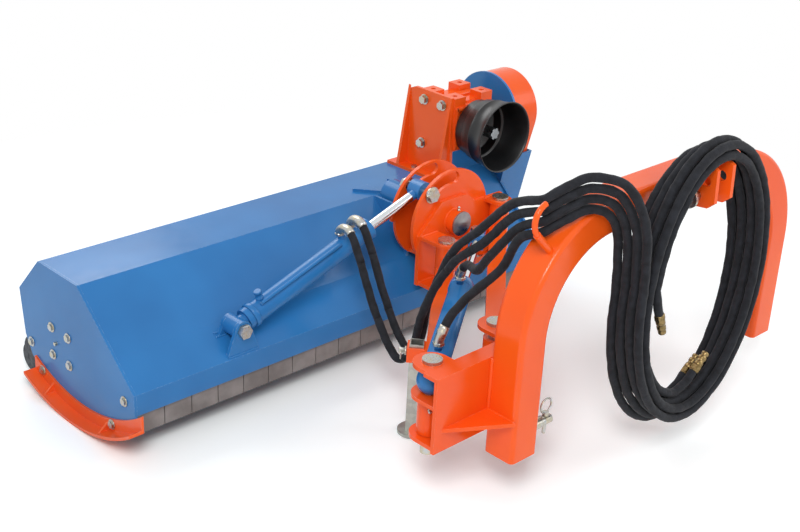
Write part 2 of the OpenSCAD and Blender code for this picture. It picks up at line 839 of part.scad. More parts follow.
// Flanged rotor bearings on the inner faces of the end plates
module rotor_bearings() {
    color(steel)
    for (s = [0, 1])
        translate([s * deck_len, 0, 0]) mirror([s, 0, 0])
            difference() {
                union() {
                    plate_x(plate_t, bearing_flange_t) translate(rotor_at) square(2 * bearing_flange, center = true);
                    rod_x([plate_t, rotor_at[0], rotor_at[1]], bearing_r, bearing_len);
                }
                rod_x([0, rotor_at[0], rotor_at[1]], shaft_r, 2 * bearing_len);
            }
}
skid_bolts = [[430, 62], [96, 52]];
plate_bolts = [[490, 122], [43, 140]];
module deck_bolts() {
    color(zinc) {
        for (y = [-1, 1], z = [-1, 1])
            hex_x([-bolt_h, rotor_at[0] + y * bearing_bolt, rotor_at[1] + z * bearing_bolt], bolt_r, bolt_h);
        rod_x([-bolt_h, rotor_at[0] + bearing_bolt / 2, rotor_at[1]], bolt_r / 2, bolt_h);
        for (p = skid_bolts) hex_x([-bolt_h - skid_web, p[0], p[1]], bolt_r, bolt_h);
        for (p = plate_bolts) hex_x([-bolt_h, p[0], p[1]], bolt_r, bolt_h);
    }
}

// Hinge on the deck: saddle with upright ribs and a bearing tube on the tilt axis
hinge_y = 92;
hinge_tube_r = 45;
saddle_t = 8;
rib_x = [1000, 1132];
saddle_plan = [[972, 304], [1060, 200], [1060, 110], [1142, 110], [1142, 200], [1200, 304]];
module over_deck() {
    difference() {
        children();
        plate_x(0, deck_len) polygon(section);
    }
}
module hinge_tube() {
    color(blue)
    over_deck()
    difference() {
        rod_y([hinge[0], hinge_y, hinge[1]], hinge_tube_r, top_front[0] - hinge_y);
        rod_y([hinge[0], hinge_y - over, hinge[1]], tilt_shaft_r + gap, top_front[0]);
    }
}
module hinge_saddle() {
    color(blue)
    over_deck()
    difference() {
        union() {
            plate_z(deck_top, saddle_t) polygon(saddle_plan);
            for (x = rib_x) plate_x(x, saddle_t) polygon([[hinge_y, fold[1]], [hinge_y, deck_top],
                [top_front[0], deck_top]]);
        }
        rod_y([hinge[0], 0, hinge[1]], hinge_tube_r, top_back[0]);
    }
}

// Lug of the tilt cylinder: two ears on the lower front panel
module cylinder_lug() {
    color(blue)
    over_deck()
    difference() {
        for (y = [tilt_mid - eye_w / 2 - flange_t - gap, tilt_mid + eye_w / 2 + gap])
            plate_y(y, flange_t) {
                dot(lug_at, eye_r);
                polygon([lug_at + [-eye_r, 0], lug_at + [eye_r, 0], lug_at + [2 * eye_r, -lug_at[1] + lip_top],
                    lug_at + [-2 * eye_r, -lug_at[1] + lip_top]]);
            }
        rod_y([lug_at[0], -deck_top, lug_at[1]], tilt_pin_r, 2 * deck_top);
    }
}
module lug_bolt() {
    reach = eye_w / 2 + flange_t + gap;
    color(zinc) {
        rod_y([lug_at[0], tilt_mid - reach, lug_at[1]], tilt_pin_r, 2 * reach);
        hex_y([lug_at[0], tilt_mid - reach - bolt_h * 2, lug_at[1]], bolt_r * 2, bolt_h * 2);
    }
}

// Tilt cylinder
module at_tilt() {
    translate([lug_at[0], tilt_mid, lug_at[1]]) rotate([0, -tilt_angle, 0]) rotate([0, 90, 0]) children();
}
module tilt_barrel() {
    color(blue)
    difference() {
        union() {
            at_tilt() translate([0, 0, barrel_in]) cylinder(r = barrel_r, h = barrel_len - barrel_in);
            at_tilt() cylinder(r = eye_w / 2 - over, h = 2 * barrel_in);
            at_tilt() translate([0, 0, barrel_len - gland_len]) cylinder(r = gland_r, h = gland_len);
            for (along = tilt_ports) at_tilt() port(along, barrel_r - over);
            rod_y([lug_at[0], tilt_mid - eye_w / 2, lug_at[1]], eye_r, eye_w);
        }
        rod_y([lug_at[0], tilt_mid - eye_w, lug_at[1]], tilt_pin_r + gap, 2 * eye_w);
        at_tilt() translate([0, 0, 2 * barrel_r])
            cylinder(r = barrel_r - barrel_wall / 2, h = barrel_len - 2 * barrel_r - gland_len);
        at_tilt() translate([0, 0, barrel_len / 2]) cylinder(r = rod_r + gap, h = barrel_len);
    }
}
module tilt_rod() {
    start = 4 * barrel_r;
    color(chrome)
    difference() {
        union() {
            at_tilt() translate([0, 0, start]) cylinder(r = rod_r, h = tilt_len - start - rod_eye_r / 2);
            at_tilt() translate([0, 0, start]) cylinder(r = barrel_r - barrel_wall / 2 - gap, h = gland_len);
            rod_y([tilt_pin_at[0], tilt_mid - eye_w / 2, tilt_pin_at[1]], rod_eye_r, eye_w);
        }
        rod_y([tilt_pin_at[0], tilt_mid - eye_w, tilt_pin_at[1]], tilt_pin_r, 2 * eye_w);
    }
}
module tilt_rod_pin() {
    front = tilt_front - gap;
    back = tilt_back + tilt_plate_t + gap;
    color(zinc) {
        rod_y([tilt_pin_at[0], front, tilt_pin_at[1]], tilt_pin_r, back - front);
        rod_y([tilt_pin_at[0], front - bolt_h / 2, tilt_pin_at[1]], pin_head_r, bolt_h / 2);
        hex_y([tilt_pin_at[0], front - bolt_h * 2, tilt_pin_at[1]], bolt_r * 2, bolt_h * 1.5);
        rod_y([tilt_pin_at[0], back, tilt_pin_at[1]], pin_head_r, bolt_h / 2);
        hex_y([tilt_pin_at[0], back + bolt_h / 2, tilt_pin_at[1]], bolt_r * 2, bolt_h * 1.5);
    }
}

// Front flaps, side by side on a rod behind the lip
flap_x0 = plate_t + flap_gap;
flap_pitch = (deck_len - 2 * flap_x0 + flap_gap) / flap_count;
module flap_rod() {
    color(zinc) rod_x([plate_t, flap_axis[0], flap_axis[1]], flap_rod_r, deck_len - 2 * plate_t);
}
module flap_curtain() {
    color(rubber)
    for (i = [0 : flap_count - 1])
        plate_x(flap_x0 + i * flap_pitch, flap_pitch - flap_gap)
            difference() {
                union() {
                    dot(flap_axis, flap_eye_r);
                    translate([flap_axis[0] - flap_eye_r, flap_low]) square([flap_t, flap_axis[1] - flap_low]);
                }
                dot(flap_axis, flap_rod_r + gap);
            }
}

// Gearbox on a folded bracket
web_chamfer = 12;
web_yz = [[186, deck_top], [196, web_top], [350, web_top], [378, web_top - web_chamfer], [420, deck_top]];
web_bolts = [[308, 610], [312, 470], [232, 610]];
foot_bolt_y = [230, 320];
module gearbox_bracket() {
    color(orange) {
        plate_x(web_x, flange_t) polygon(web_yz);
        plate_z(deck_top, flange_t) translate([web_x - web_foot, web_yz[0][0]])
            square([web_foot, web_yz[4][0] - web_yz[0][0]]);
        plate_y(web_yz[0][0] + flange_t, flange_t)
            polygon([[web_x, deck_top + flange_t], [web_x - web_foot, deck_top + flange_t], [web_x, web_top]]);
        plate_y(web_yz[4][0] - 5 * flange_t, flange_t)
            polygon([[web_x, deck_top + flange_t], [web_x - web_foot, deck_top + flange_t], [web_x, web_top]]);
    }
}
gear_x0 = web_x + flange_t;
gear_x1 = gear_at[0] + gear_w / 2;
gear_y0 = gear_at[1] - gear_d / 2;
gear_z0 = gear_at[2] - gear_h / 2;
flange_r = 62;
quill_r = 48;
module gearbox_housing() {
    color(orange)
    difference() {
        union() {
            translate([gear_x0, gear_y0, gear_z0]) cube([gear_x1 - gear_x0, gear_d, gear_h]);
            for (x = [gear_x0, gear_x1 - gear_boss], y = [gear_y0, gear_y0 + gear_d - gear_boss])
                translate([x, y, gear_z0 + gear_h]) cube([gear_boss, gear_boss, gear_boss_h]);
            rod_y([gear_at[0], guard_base, gear_at[2]], flange_r, gear_y0 - guard_base + over);
            rod_x([gear_x1 - over, gear_at[1], gear_at[2]], quill_r, deck_len - plate_t - gear_x1 + over);
        }
        rod_y([gear_at[0], guard_base - over, gear_at[2]], spline_r + gap, gear_at[1] - guard_base);
        rod_x([gear_at[0], gear_at[1], gear_at[2]], out_r + gap, deck_len);
        for (x = [gear_x0 + gear_boss / 2, gear_x1 - gear_boss / 2])
            for (y = [gear_y0 + gear_boss / 2, gear_y0 + gear_d - gear_boss / 2])
                rod_z([x, y, gear_z0 + gear_h + gear_boss_h - gear_tap], gear_tap_r, gear_tap + over);
    }
}
module gearbox_bolts() {
    color(zinc) {
        for (p = web_bolts) {
            hex_x([web_x - web_washer - web_bolt_h, p[0], p[1]], web_bolt_r, web_bolt_h);
            rod_x([web_x - web_washer, p[0], p[1]], web_bolt_r + web_washer, web_washer);
        }
        for (y = foot_bolt_y) hex_z([web_x - web_foot / 2, y, deck_top + flange_t], bolt_r, bolt_h);
    }
}
module pto_guard() {
    step = guard_base - guard_front;
    outer = [[guard_neck_r, 0], [guard_neck_r, step / 4], [guard_r - over, step / 3], [guard_r, step]];
    color(black)
    translate([gear_at[0], guard_base, gear_at[2]]) rotate([90, 0, 0])
        rotate_extrude()
            polygon(concat([[flange_r / 2, 0]], outer, [[guard_r - guard_wall, step],
                [guard_r - over - guard_wall, step / 3], [guard_neck_r - guard_wall, step / 4 + guard_wall],
                [guard_neck_r - guard_wall, guard_wall], [flange_r / 2, guard_wall]]));
}
module pto_shaft() {
    color(steel)
    translate([gear_at[0], pto_tip, gear_at[2]]) rotate([-90, 0, 0])
        difference() {
            cylinder(r = spline_r, h = gear_at[1] - out_r - pto_tip - 2 * over - gap);
            for (i = [0 : spline_n - 1]) rotate([0, 0, (i + 0.5) * 360 / spline_n])
                translate([spline_root, -spline_w / 2, -over]) cube([spline_r, spline_w, guard_base - pto_tip]);
        }
}

// Belt drive: pulleys, belts, orange cover and blue lower case
module pulley(at, r, bore) {
    difference() {
        rod_x([belt_x, at[0], at[1]], r + belt_t, pulley_w);
        for (i = [0 : belt_n - 1])
            translate([belt_x + i * belt_pitch + groove_in, 0, 0]) rotate([90, 0, 90]) linear_extrude(belt_w + groove_play)
                difference() {
                    dot(at, r + 2 * belt_t);
                    dot(at, r);
                }
        rod_x([belt_x - over, at[0], at[1]], bore, pulley_w + 2 * over);
    }
}
module output_shaft() {
    color(steel)
    rod_x([gear_at[0] + spline_r, gear_at[1], gear_at[2]], out_r, belt_x + pulley_w - gear_at[0] - spline_r);
}
module upper_pulley() { color(steel) pulley(gear_yz, upper_pulley_r, out_r); }
module rotor_pulley() { color(steel) pulley(rotor_at, lower_pulley_r, shaft_r - gap); }
module drive_belts() {
    color(black)
    for (i = [0 : belt_n - 1])
        plate_x(belt_x + i * belt_pitch + groove_in + groove_play / 2, belt_w)
            difference() {
                loop_2d(gear_yz, upper_pulley_r + belt_t, rotor_at, lower_pulley_r + belt_t);
                loop_2d(gear_yz, upper_pulley_r + belt_gap, rotor_at, lower_pulley_r + belt_gap);
            }
}
module cover_2d(inset, low) {
    intersection() {
        loop_2d(gear_yz, cover_r - inset, rotor_at, cover_low_r - inset);
        translate([0, low]) square(bow_top);
    }
}
module belt_cover() {
    color(orange) {
        plate_x(deck_len, cover_len)
            difference() {
                cover_2d(0, cover_low_z);
                cover_2d(cover_wall, cover_low_z - over);
            }
        plate_x(deck_len + cover_len - cover_wall, cover_wall) cover_2d(0, cover_low_z);
    }
}
module case_2d(inset) {
    intersection() {
        loop_2d(gear_yz, cover_r + over + case_wall - inset, rotor_at, case_r - inset);
        translate([0, case_low + inset]) square([2 * back_up[0], case_top - case_low]);
    }
}
module belt_case() {
    color(blue) {
        plate_x(deck_len, case_len)
            difference() {
                case_2d(0);
                case_2d(case_wall);
            }
        plate_x(deck_len + case_len, case_wall) case_2d(0);
    }
}

// Hydraulic hoses: two from each cylinder, over the shoulder of the bow and into a hank
hose_r = 11;
hose_step = 26;
hose_sides = 8;
hank_sides = 6;
loop_rings = 24;
smooth_steps = 3;
// Way of the tilt hoses from the ports on the barrel to the guide
tilt_route_1 = [[722, 18, 448], [716, -20, 446], [710, -66, 392], [700, -130, 290], [690, -200, 205],
    [685, -250, 180], [687, -288, 222], [690, -305, 330], [690, -345, 430], [674, -402, 522],
    [660, -489, 605], [650, -590, 706]];
tilt_route_2 = [[682, 14, 434], [676, -22, 430], [669, -66, 376], [660, -130, 275], [652, -200, 190],
    [650, -250, 160], [657, -290, 202], [664, -312, 310], [664, -354, 405], [664, -418, 500],
    [660, -508, 581], [650, -600, 680]];
// Way of the side-shift hoses from the ports on the barrel to the guide
shift_route_1 = [[797, -318, 402], [782, -350, 430], [745, -400, 450], [700, -460, 480], [664, -530, 556],
    [650, -616, 655]];
shift_route_2 = [[508, -533, 402], [534, -536, 440], [585, -544, 480], [640, -584, 545], [634, -634, 638]];
// Where the lowest hose passes the guide, which way it runs there, and the step to the next hose
at_guide = [640, -690, 672];
guide_step = 27;
guide_way = unit([0.3, -0.85, 0.43]);
joint_gap = 0.6;
joint_in = 6;
// Way of one hose from the guide to the hank, lifted and spread hose by hose
lead_route = [[690, -722, 704], [735, -742, 722], [780, -766, 708], [822, -771, 640]];
lead_lift = [27, 27, 26, 15];
lead_spread = [0, -4, -16, -25];
// Hank: loops that hang over the ears of the top link, the outer loop first
hank_at = [bow_mid, -772, 475];
hank_half = [262, 375];
hank_shrink = 26;
hank_start = 172;
hank_lift = [-35.89, -16.7, 2.04, -4.08];
hank_turns = [1.96, 2.27, 2.27, 2];
down_tail = [[10, 0, -35], [24, 0, -70]];
side_tail = [[45, 0, 13], [75, 0, 34]];
coupler_r = 12;
coupler_len = 62;
coupler_hex = 14;
coupler_nut = 18;

// Points on a smooth curve through a route
function spline(p, i, t) =
    let (
        a = p[max(i - 1, 0)],
        b = p[i],
        c = p[i + 1],
        d = p[min(i + 2, len(p) - 1)]
    )
    0.5 * (2 * b + (c - a) * t + (2 * a - 5 * b + 4 * c - d) * t * t + (3 * b - a - 3 * c + d) * t * t * t);
function smooth(p) = concat([for (i = [0 : len(p) - 2], k = [0 : smooth_steps - 1])
    spline(p, i, k / smooth_steps)], [p[len(p) - 1]]);
function heading(p, i) = unit(p[min(i + 1, len(p) - 1)] - p[max(i - 1, 0)]);
function ring(at, along, r, sides, ref) =
    let (
        u = unit(cross(along, ref)),
        v = cross(along, u)
    )
    [for (k = [0 : sides - 1]) at + r * (u * cos(360 * k / sides) + v * sin(360 * k / sides))];
module tube(p, r, sides, ref) {
    n = len(p);
    points = [for (i = [0 : n - 1]) each ring(p[i], heading(p, i), r, sides, ref)];
    walls = [for (i = [0 : n - 2], k = [0 : sides - 1])
        let (
            a = i * sides + k,
            b = i * sides + (k + 1) % sides
        )
        each [[a, b, a + sides], [b, b + sides, a + sides]]];
    ends = [for (k = [1 : sides - 2]) each [[0, k + 1, k],
        [(n - 1) * sides, (n - 1) * sides + k, (n - 1) * sides + k + 1]]];
    polyhedron(points, concat(walls, ends));
}
function hank_point(k, turn) =
    let (
        a = hank_start + 360 * turn,
        in = hank_shrink * turn
    )
    [hank_at[0] + (hank_half[0] - in) * cos(a), hank_at[1] - hose_step * k,
        hank_at[2] + hank_lift[k] + (hank_half[1] - in) * sin(a)];
function hank_loops(k) = [for (i = [0 : round(hank_turns[k] * loop_rings)]) hank_point(k, i / loop_rings)];
function guide_point(k) = at_guide + [0, 0, guide_step * k];
function lead(k) = concat([guide_point(k) + joint_gap * guide_way],
    smooth(concat([guide_point(k) + (joint_gap + joint_in) * guide_way],
    [for (i = [0 : len(lead_route) - 1]) lead_route[i] + [0, k * lead_spread[i], k * lead_lift[i]]])));
function hank_end(k) = hank_point(k, round(hank_turns[k] * loop_rings) / loop_rings);
function hank_tail(k) = [for (p = k == 1 || k == 2 ? side_tail : down_tail) hank_end(k) + p];
function hank(k) = concat(lead(k), hank_loops(k), hank_tail(k));

// One hose from a port to the guide
tilt_way = [cos(tilt_angle), 0, sin(tilt_angle)];
tilt_up = [-sin(tilt_angle), 0, cos(tilt_angle)];
shift_way = [cos(shift_angle), sin(shift_angle), 0];
function run(port, up, route, k) = concat([port + gap * up], smooth(concat([port + hose_r * up], route,
    [guide_point(k) - joint_in * guide_way])), [guide_point(k)]);
function tilt_run(n, route, k) = run([lug_at[0], tilt_mid, lug_at[1]] + tilt_ports[n] * tilt_way
    + port_top * tilt_up, tilt_up, route, k);
function shift_run(n, route, k) = run([a0[0], a0[1], shift_z + port_top] + shift_ports[n] * shift_way,
    [0, 0, 1], route, k);

// Least gap of a hose to itself, between points more than a few rings apart
function self_gap(p, r) = min([for (i = [0 : len(p) - 1], j = [i + 6 : 1 : len(p) - 1]) norm(p[i] - p[j])]) - 2 * r;
echo(least_gap_of_each_hose = [for (k = [0 : 3]) self_gap(hank(k), hose_r)]);

run_ref = [1, 0.3, 0];
hank_ref = [0, 1, 0];
module tilt_hoses() {
    color(black) {
        tube(tilt_run(0, tilt_route_1, 3), hose_r, hose_sides, run_ref);
        tube(tilt_run(1, tilt_route_2, 2), hose_r, hose_sides, run_ref);
    }
}
module shift_hoses() {
    color(black) {
        tube(shift_run(0, shift_route_1, 1), hose_r, hose_sides, run_ref);
        tube(shift_run(1, shift_route_2, 0), hose_r, hose_sides, run_ref);
    }
}
module hose_hank() {
    color(black) for (k = [0 : 3]) tube(hank(k), hose_r, hank_sides, hank_ref);
}
module coupler() {
    color("#b89b55") {
        cylinder(r = coupler_hex, h = coupler_nut, $fn = 6);
        translate([0, 0, coupler_nut]) cylinder(r = coupler_r, h = coupler_len - coupler_nut);
    }
}
module hose_couplers() {
    for (k = [0 : 3]) {
        p = hank(k);
        way = heading(p, len(p) - 1);
        translate(p[len(p) - 1] + gap * way) rotate([0, atan2(way[0], way[2]), 0]) coupler();
    }
}

module place() { translate([-mid_x, -mid_y, 0]) children(); }

place() bow_frame();
place() side_bracket();
place() top_link_ears();
place() top_link_pin();
place() lower_link_pins();
place() lynch_pin_left();
place() lynch_pin_right();
place() hose_guide();
place() arm_pivot_pins();
place() outer_arm();
place() stand_sleeve();
place() stand_lock_pin();
place() stand_leg();
place() inner_arm();
place() shift_barrel();
place() shift_rod();
place() shift_rod_bolt();
place() mount_frame();
place() tilt_plates();
place() mount_pins();
place() tilt_shaft();
place() deck_shell();
place() outer_end_plate();
place() inner_end_plate();
place() skids();
place() roller_brackets();
place() rotor_bearings();
place() deck_bolts();
place() hinge_saddle();
place() hinge_tube();
place() cylinder_lug();
place() lug_bolt();
place() flap_rod();
place() flap_curtain();
place() gearbox_bracket();
place() gearbox_housing();
place() gearbox_bolts();
place() pto_guard();
place() pto_shaft();
place() output_shaft();
place() upper_pulley();
place() belt_cover();
place() belt_case();
place() drive_belts();
place() rotor_tube();
place() rotor_pulley();
place() flail_bolts();
place() flail_row_1();
place() flail_row_2();
place() flail_row_3();
place() flail_row_4();
place() rear_roller();
place() tilt_barrel();
place() tilt_rod();
place() tilt_rod_pin();
place() tilt_hoses();
place() shift_hoses();
place() hose_hank();
place() hose_couplers();
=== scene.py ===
# %% [markdown]
# # Dressing a side-shift flail mower
# The solid model comes in as a fixed frame. This lesson sets the camera, lays the hydraulic hoses,
# makes a finish for every material, adds the small parts that a workshop would add, and lights it all.

# %% Load the frame
import json
import math

import bmesh
import bpy
from mathutils import Matrix, Vector, noise


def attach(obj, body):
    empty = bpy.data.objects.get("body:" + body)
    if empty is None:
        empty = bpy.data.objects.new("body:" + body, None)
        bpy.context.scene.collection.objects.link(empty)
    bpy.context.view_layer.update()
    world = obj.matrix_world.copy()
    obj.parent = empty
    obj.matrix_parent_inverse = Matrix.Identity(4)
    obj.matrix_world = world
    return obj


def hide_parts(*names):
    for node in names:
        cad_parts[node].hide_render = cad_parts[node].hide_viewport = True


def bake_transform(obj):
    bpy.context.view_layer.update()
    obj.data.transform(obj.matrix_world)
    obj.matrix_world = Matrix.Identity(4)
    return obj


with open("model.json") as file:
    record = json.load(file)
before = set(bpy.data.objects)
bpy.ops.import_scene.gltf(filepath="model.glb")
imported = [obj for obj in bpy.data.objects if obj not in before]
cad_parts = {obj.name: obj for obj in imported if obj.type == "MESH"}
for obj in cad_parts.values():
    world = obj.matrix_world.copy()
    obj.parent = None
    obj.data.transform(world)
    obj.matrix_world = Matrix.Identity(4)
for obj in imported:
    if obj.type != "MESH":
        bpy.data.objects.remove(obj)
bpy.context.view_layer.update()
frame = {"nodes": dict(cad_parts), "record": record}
nodes = frame["nodes"]

# %% [markdown]
# The source works in millimetres from the outer end plate and the front lip. Two numbers carry a point
# from there into the row frame, which has its origin under the middle of the parked machine.

# %% From the maker's millimetres to the row frame
MM = 0.001
MID_X = 804
MID_Y = -142.5


def place(p):
    return Vector(((p[0] - MID_X) / 1000, (p[1] - MID_Y) / 1000, p[2] / 1000))


print("the source starts at", [round(c, 4) for c in place((0, 0, 0))])

# %% [markdown]
# The camera was worked out from the straight edges of the deck. Its three angles turn into the three axes
# of the camera's own frame: right, up, and back towards the viewer.

# %% Camera
CAMERA_AT = (-2.3238, -2.2890, 1.8380)
AZIMUTH, ELEVATION, ROLL = (math.radians(a) for a in (-44.69, 24.63, 2.78))
LENS, SENSOR = 60.09, 36
UP = Vector((0, 0, 1))
back = Vector((math.sin(AZIMUTH) * math.cos(ELEVATION), -math.cos(AZIMUTH) * math.cos(ELEVATION),
               math.sin(ELEVATION)))
level = UP.cross(back).normalized()
upright = back.cross(level)
right = math.cos(ROLL) * level + math.sin(ROLL) * upright
up = math.cos(ROLL) * upright - math.sin(ROLL) * level
camera = bpy.data.objects.new("camera", bpy.data.cameras.new("camera"))
camera.data.lens = LENS
camera.data.sensor_width = SENSOR
camera.data.sensor_fit = "HORIZONTAL"
camera.matrix_world = Matrix((right, up, back)).transposed().to_4x4()
camera.location = CAMERA_AT
bpy.context.collection.objects.link(camera)
bpy.context.scene.camera = camera
print("camera at", [round(c, 3) for c in camera.location])

# %% [markdown]
# Each hose is one length of rubber in a textile sleeve. It leaves a port on a cylinder, climbs to the guide
# on the shoulder of the bow, and hangs in loops over the ears of the top link. Every hose is swept from rings
# of points.
# The turned pieces later on are made of rings too, so the helpers that join rings come first.


# %% Helpers for rings of points
def around(sides):
    return [2 * math.pi * k / sides for k in range(sides)]


def wrap(bm, rings, rounded=True):
    """Joins each ring to the next with faces."""
    for low, high in zip(rings, rings[1:]):
        sides = len(low)
        for k in range(sides):
            n = (k + 1) % sides
            bm.faces.new((low[k], low[n], high[n], high[k])).smooth = rounded


def cap(bm, rings):
    bm.faces.new(rings[0][::-1])
    bm.faces.new(rings[-1])


def to_object(name, bm):
    mesh = bpy.data.meshes.new(name)
    bm.to_mesh(mesh)
    bm.free()
    obj = bpy.data.objects.new(name, mesh)
    bpy.context.collection.objects.link(obj)
    return obj


print("angles of a hex:", [round(math.degrees(a)) for a in around(6)])

# %% [markdown]
# A sleeve wrinkles, so the radius of a hose swells and sinks a little with a noise in space. Each ring
# starts from the side of the ring before it, which keeps the tube from twisting.

# %% Sweep a tube along a path
HOSE_R = 11 * MM
HOSE_SIDES = 18
CREASE_APART = 21 * MM
CREASE_DEEP = 0.15


def sweep(name, path, radius, sides=HOSE_SIDES, crease=0):
    """A closed tube along a path, with one radius or a function of how far along it is."""
    bm = bmesh.new()
    last = len(path) - 1
    heading = [(path[min(i + 1, last)] - path[max(i - 1, 0)]).normalized() for i in range(last + 1)]
    side = heading[0].orthogonal().normalized()
    rings = []
    for i, (point, way) in enumerate(zip(path, heading)):
        side = (side - way * side.dot(way)).normalized()
        other = way.cross(side)
        r = radius(i / last) if callable(radius) else radius
        spokes = [r * (side * math.cos(a) + other * math.sin(a)) for a in around(sides)]
        swell = [1 + crease * noise.noise((point + spoke) / CREASE_APART) for spoke in spokes]
        rings.append([bm.verts.new(point + spoke * grow) for spoke, grow in zip(spokes, swell)])
    wrap(bm, rings)
    cap(bm, rings)
    return to_object(name, bm)


print("hose:", round(2 * HOSE_R / MM), "mm across")

# %% [markdown]
# The routes repeat the source's own chosen points, in its millimetres. A smooth curve through them comes
# from the usual cubic, which passes through every point.

# %% Routes from the ports to the guide
SMOOTH_STEPS = 8
TILT_ROUTES = [
    [(722, 18, 448), (716, -20, 446), (710, -66, 392), (700, -130, 290), (690, -200, 205), (685, -250, 180),
     (687, -288, 222), (690, -305, 330), (690, -345, 430), (674, -402, 522), (660, -489, 605),
     (650, -590, 706)],
    [(682, 14, 434), (676, -22, 430), (669, -66, 376), (660, -130, 275), (652, -200, 190), (650, -250, 160),
     (657, -290, 202), (664, -312, 310), (664, -354, 405), (664, -418, 500), (660, -508, 581),
     (650, -600, 680)],
]
SHIFT_ROUTES = [
    [(797, -318, 402), (782, -350, 430), (745, -400, 450), (700, -460, 480), (664, -530, 556),
     (650, -616, 655)],
    [(508, -533, 402), (534, -536, 440), (585, -544, 480), (640, -584, 545), (634, -634, 638)],
]
TILT_ANGLE = math.radians(19.0773)
TILT_UP = Vector((-math.sin(TILT_ANGLE), 0, math.cos(TILT_ANGLE)))
TILT_PORTS = [(729.71, 38, 419.91), (691.15, 38, 406.57)]
SHIFT_PORTS = [(803.22, -307.65, 367), (500.80, -529.41, 367)]


def smooth(points, steps=SMOOTH_STEPS):
    out = []
    last = len(points) - 1
    for i in range(last):
        a, b, c, d = (points[min(max(i + k, 0), last)] for k in (-1, 0, 1, 2))
        for k in range(steps):
            t = k / steps
            out.append(0.5 * (2 * b + (c - a) * t + (2 * a - 5 * b + 4 * c - d) * t ** 2
                              + (3 * b - a - 3 * c + d) * t ** 3))
    return out + [points[last]]


def run_length(path):
    return sum((q - p).length for p, q in zip(path, path[1:]))


print("points on the routes:", [len(route) for route in TILT_ROUTES + SHIFT_ROUTES])

# %% [markdown]
# Past the guide the four hoses lead on over the bow, side by side, and hang in a hank. A hank is a slow
# spiral: an ellipse that draws in a little with each turn. Every hose has its own plane in it, one step
# nearer to the tractor than the last, and its own number of turns.

# %% Lead and hank
AT_GUIDE = Vector((640, -690, 672))
GUIDE_STEP = 27
LEAD_ROUTE = [(690, -722, 704), (735, -742, 722), (780, -766, 708), (822, -771, 640)]
LEAD_LIFT = [27, 27, 26, 15]
LEAD_SPREAD = [0, -4, -16, -25]
HANK_AT = Vector((1097.5, -772, 475))
HANK_HALF = (262, 375)
HANK_SHRINK = 26
HANK_START = 172
HANK_LIFT = [-35.89, -16.7, 2.04, -4.08]
HANK_TURNS = [47 / 24, 54 / 24, 54 / 24, 2]
HOSE_STEP = 26
LOOP_RINGS = 144


def hank_point(k, turn):
    angle = math.radians(HANK_START + 360 * turn)
    drawn_in = HANK_SHRINK * turn
    return HANK_AT + Vector(((HANK_HALF[0] - drawn_in) * math.cos(angle), -HOSE_STEP * k,
                             HANK_LIFT[k] + (HANK_HALF[1] - drawn_in) * math.sin(angle)))


def lead_points(k):
    return [Vector(p) + Vector((0, k * spread, k * lift))
            for p, spread, lift in zip(LEAD_ROUTE, LEAD_SPREAD, LEAD_LIFT)]


print("top of the hank:", round(max(hank_point(3, i / LOOP_RINGS).z for i in range(LOOP_RINGS))), "mm up")

# %% [markdown]
# A whole hose is then one list of points: straight out of its port, along its route, through the guide,
# over the lead, round its turns, and out of the hank by a short tail that points down or aside.

# %% Whole paths
PORT_GAP = 0.4
HOSE_BEND_IN = 11
JOINT_IN = 6
GUIDE_WAY = Vector((0.3, -0.85, 0.43)).normalized()
DOWN_TAIL = [(10, 0, -35), (24, 0, -70)]
SIDE_TAIL = [(45, 0, 13), (75, 0, 34)]
TAILS = [DOWN_TAIL, SIDE_TAIL, SIDE_TAIL, DOWN_TAIL]
TAIL_STEPS = 6


def hose_path(k, port, way, route):
    """Points in metres from a port to the coupler."""
    port = Vector(port)
    guide = AT_GUIDE + Vector((0, 0, GUIDE_STEP * k))
    run = [port + way * HOSE_BEND_IN] + [Vector(p) for p in route] + [guide - GUIDE_WAY * JOINT_IN]
    rings = round(HANK_TURNS[k] * LOOP_RINGS)
    loops = [hank_point(k, i / LOOP_RINGS) for i in range(rings + 1)]
    tail = [loops[-1] + Vector(p) for p in TAILS[k]]
    points = [port + way * PORT_GAP] + smooth(run) + [guide]
    points += smooth([guide + GUIDE_WAY * JOINT_IN] + lead_points(k) + [loops[0]])[:-1] + loops[:-1]
    points += smooth([loops[-1]] + tail, TAIL_STEPS)
    return [place(p) for p in points]


paths = [
    hose_path(0, SHIFT_PORTS[1], UP, SHIFT_ROUTES[1]),
    hose_path(1, SHIFT_PORTS[0], UP, SHIFT_ROUTES[0]),
    hose_path(2, TILT_PORTS[1], TILT_UP, TILT_ROUTES[1]),
    hose_path(3, TILT_PORTS[0], TILT_UP, TILT_ROUTES[0]),
]
print("hose lengths:", [round(run_length(path), 3) for path in paths])

# %% [markdown]
# Fittings are turned on a lathe, so here a profile is spun round a line. Profiles are pairs of radius and
# height in millimetres. With few sides the faces stay flat, which gives a hex from the same function.

# %% Helpers for turned pieces
HEX, FINE = 6, 32
FLAT_SIDES = 8


def turned_rings(bm, profile, sides, at):
    return [[bm.verts.new(at @ Vector((r * MM * math.cos(a), r * MM * math.sin(a), h * MM)))
             for a in around(sides)] for r, h in profile]


def spin(bm, profile, sides, at):
    """Turns an open profile round the Z axis of a frame, with a cap at both ends."""
    rings = turned_rings(bm, profile, sides, at)
    wrap(bm, rings, sides > FLAT_SIDES)
    cap(bm, rings)


def along(point, way):
    """The frame at a point whose own Z runs along a direction."""
    return Matrix.Translation(point) @ Vector(way).to_track_quat("Z", "Y").to_matrix().to_4x4()


def from_bmesh(name, bm):
    bmesh.ops.recalc_face_normals(bm, faces=bm.faces)
    return to_object(name, bm)


print("a piece is flat-sided up to", FLAT_SIDES, "sides")

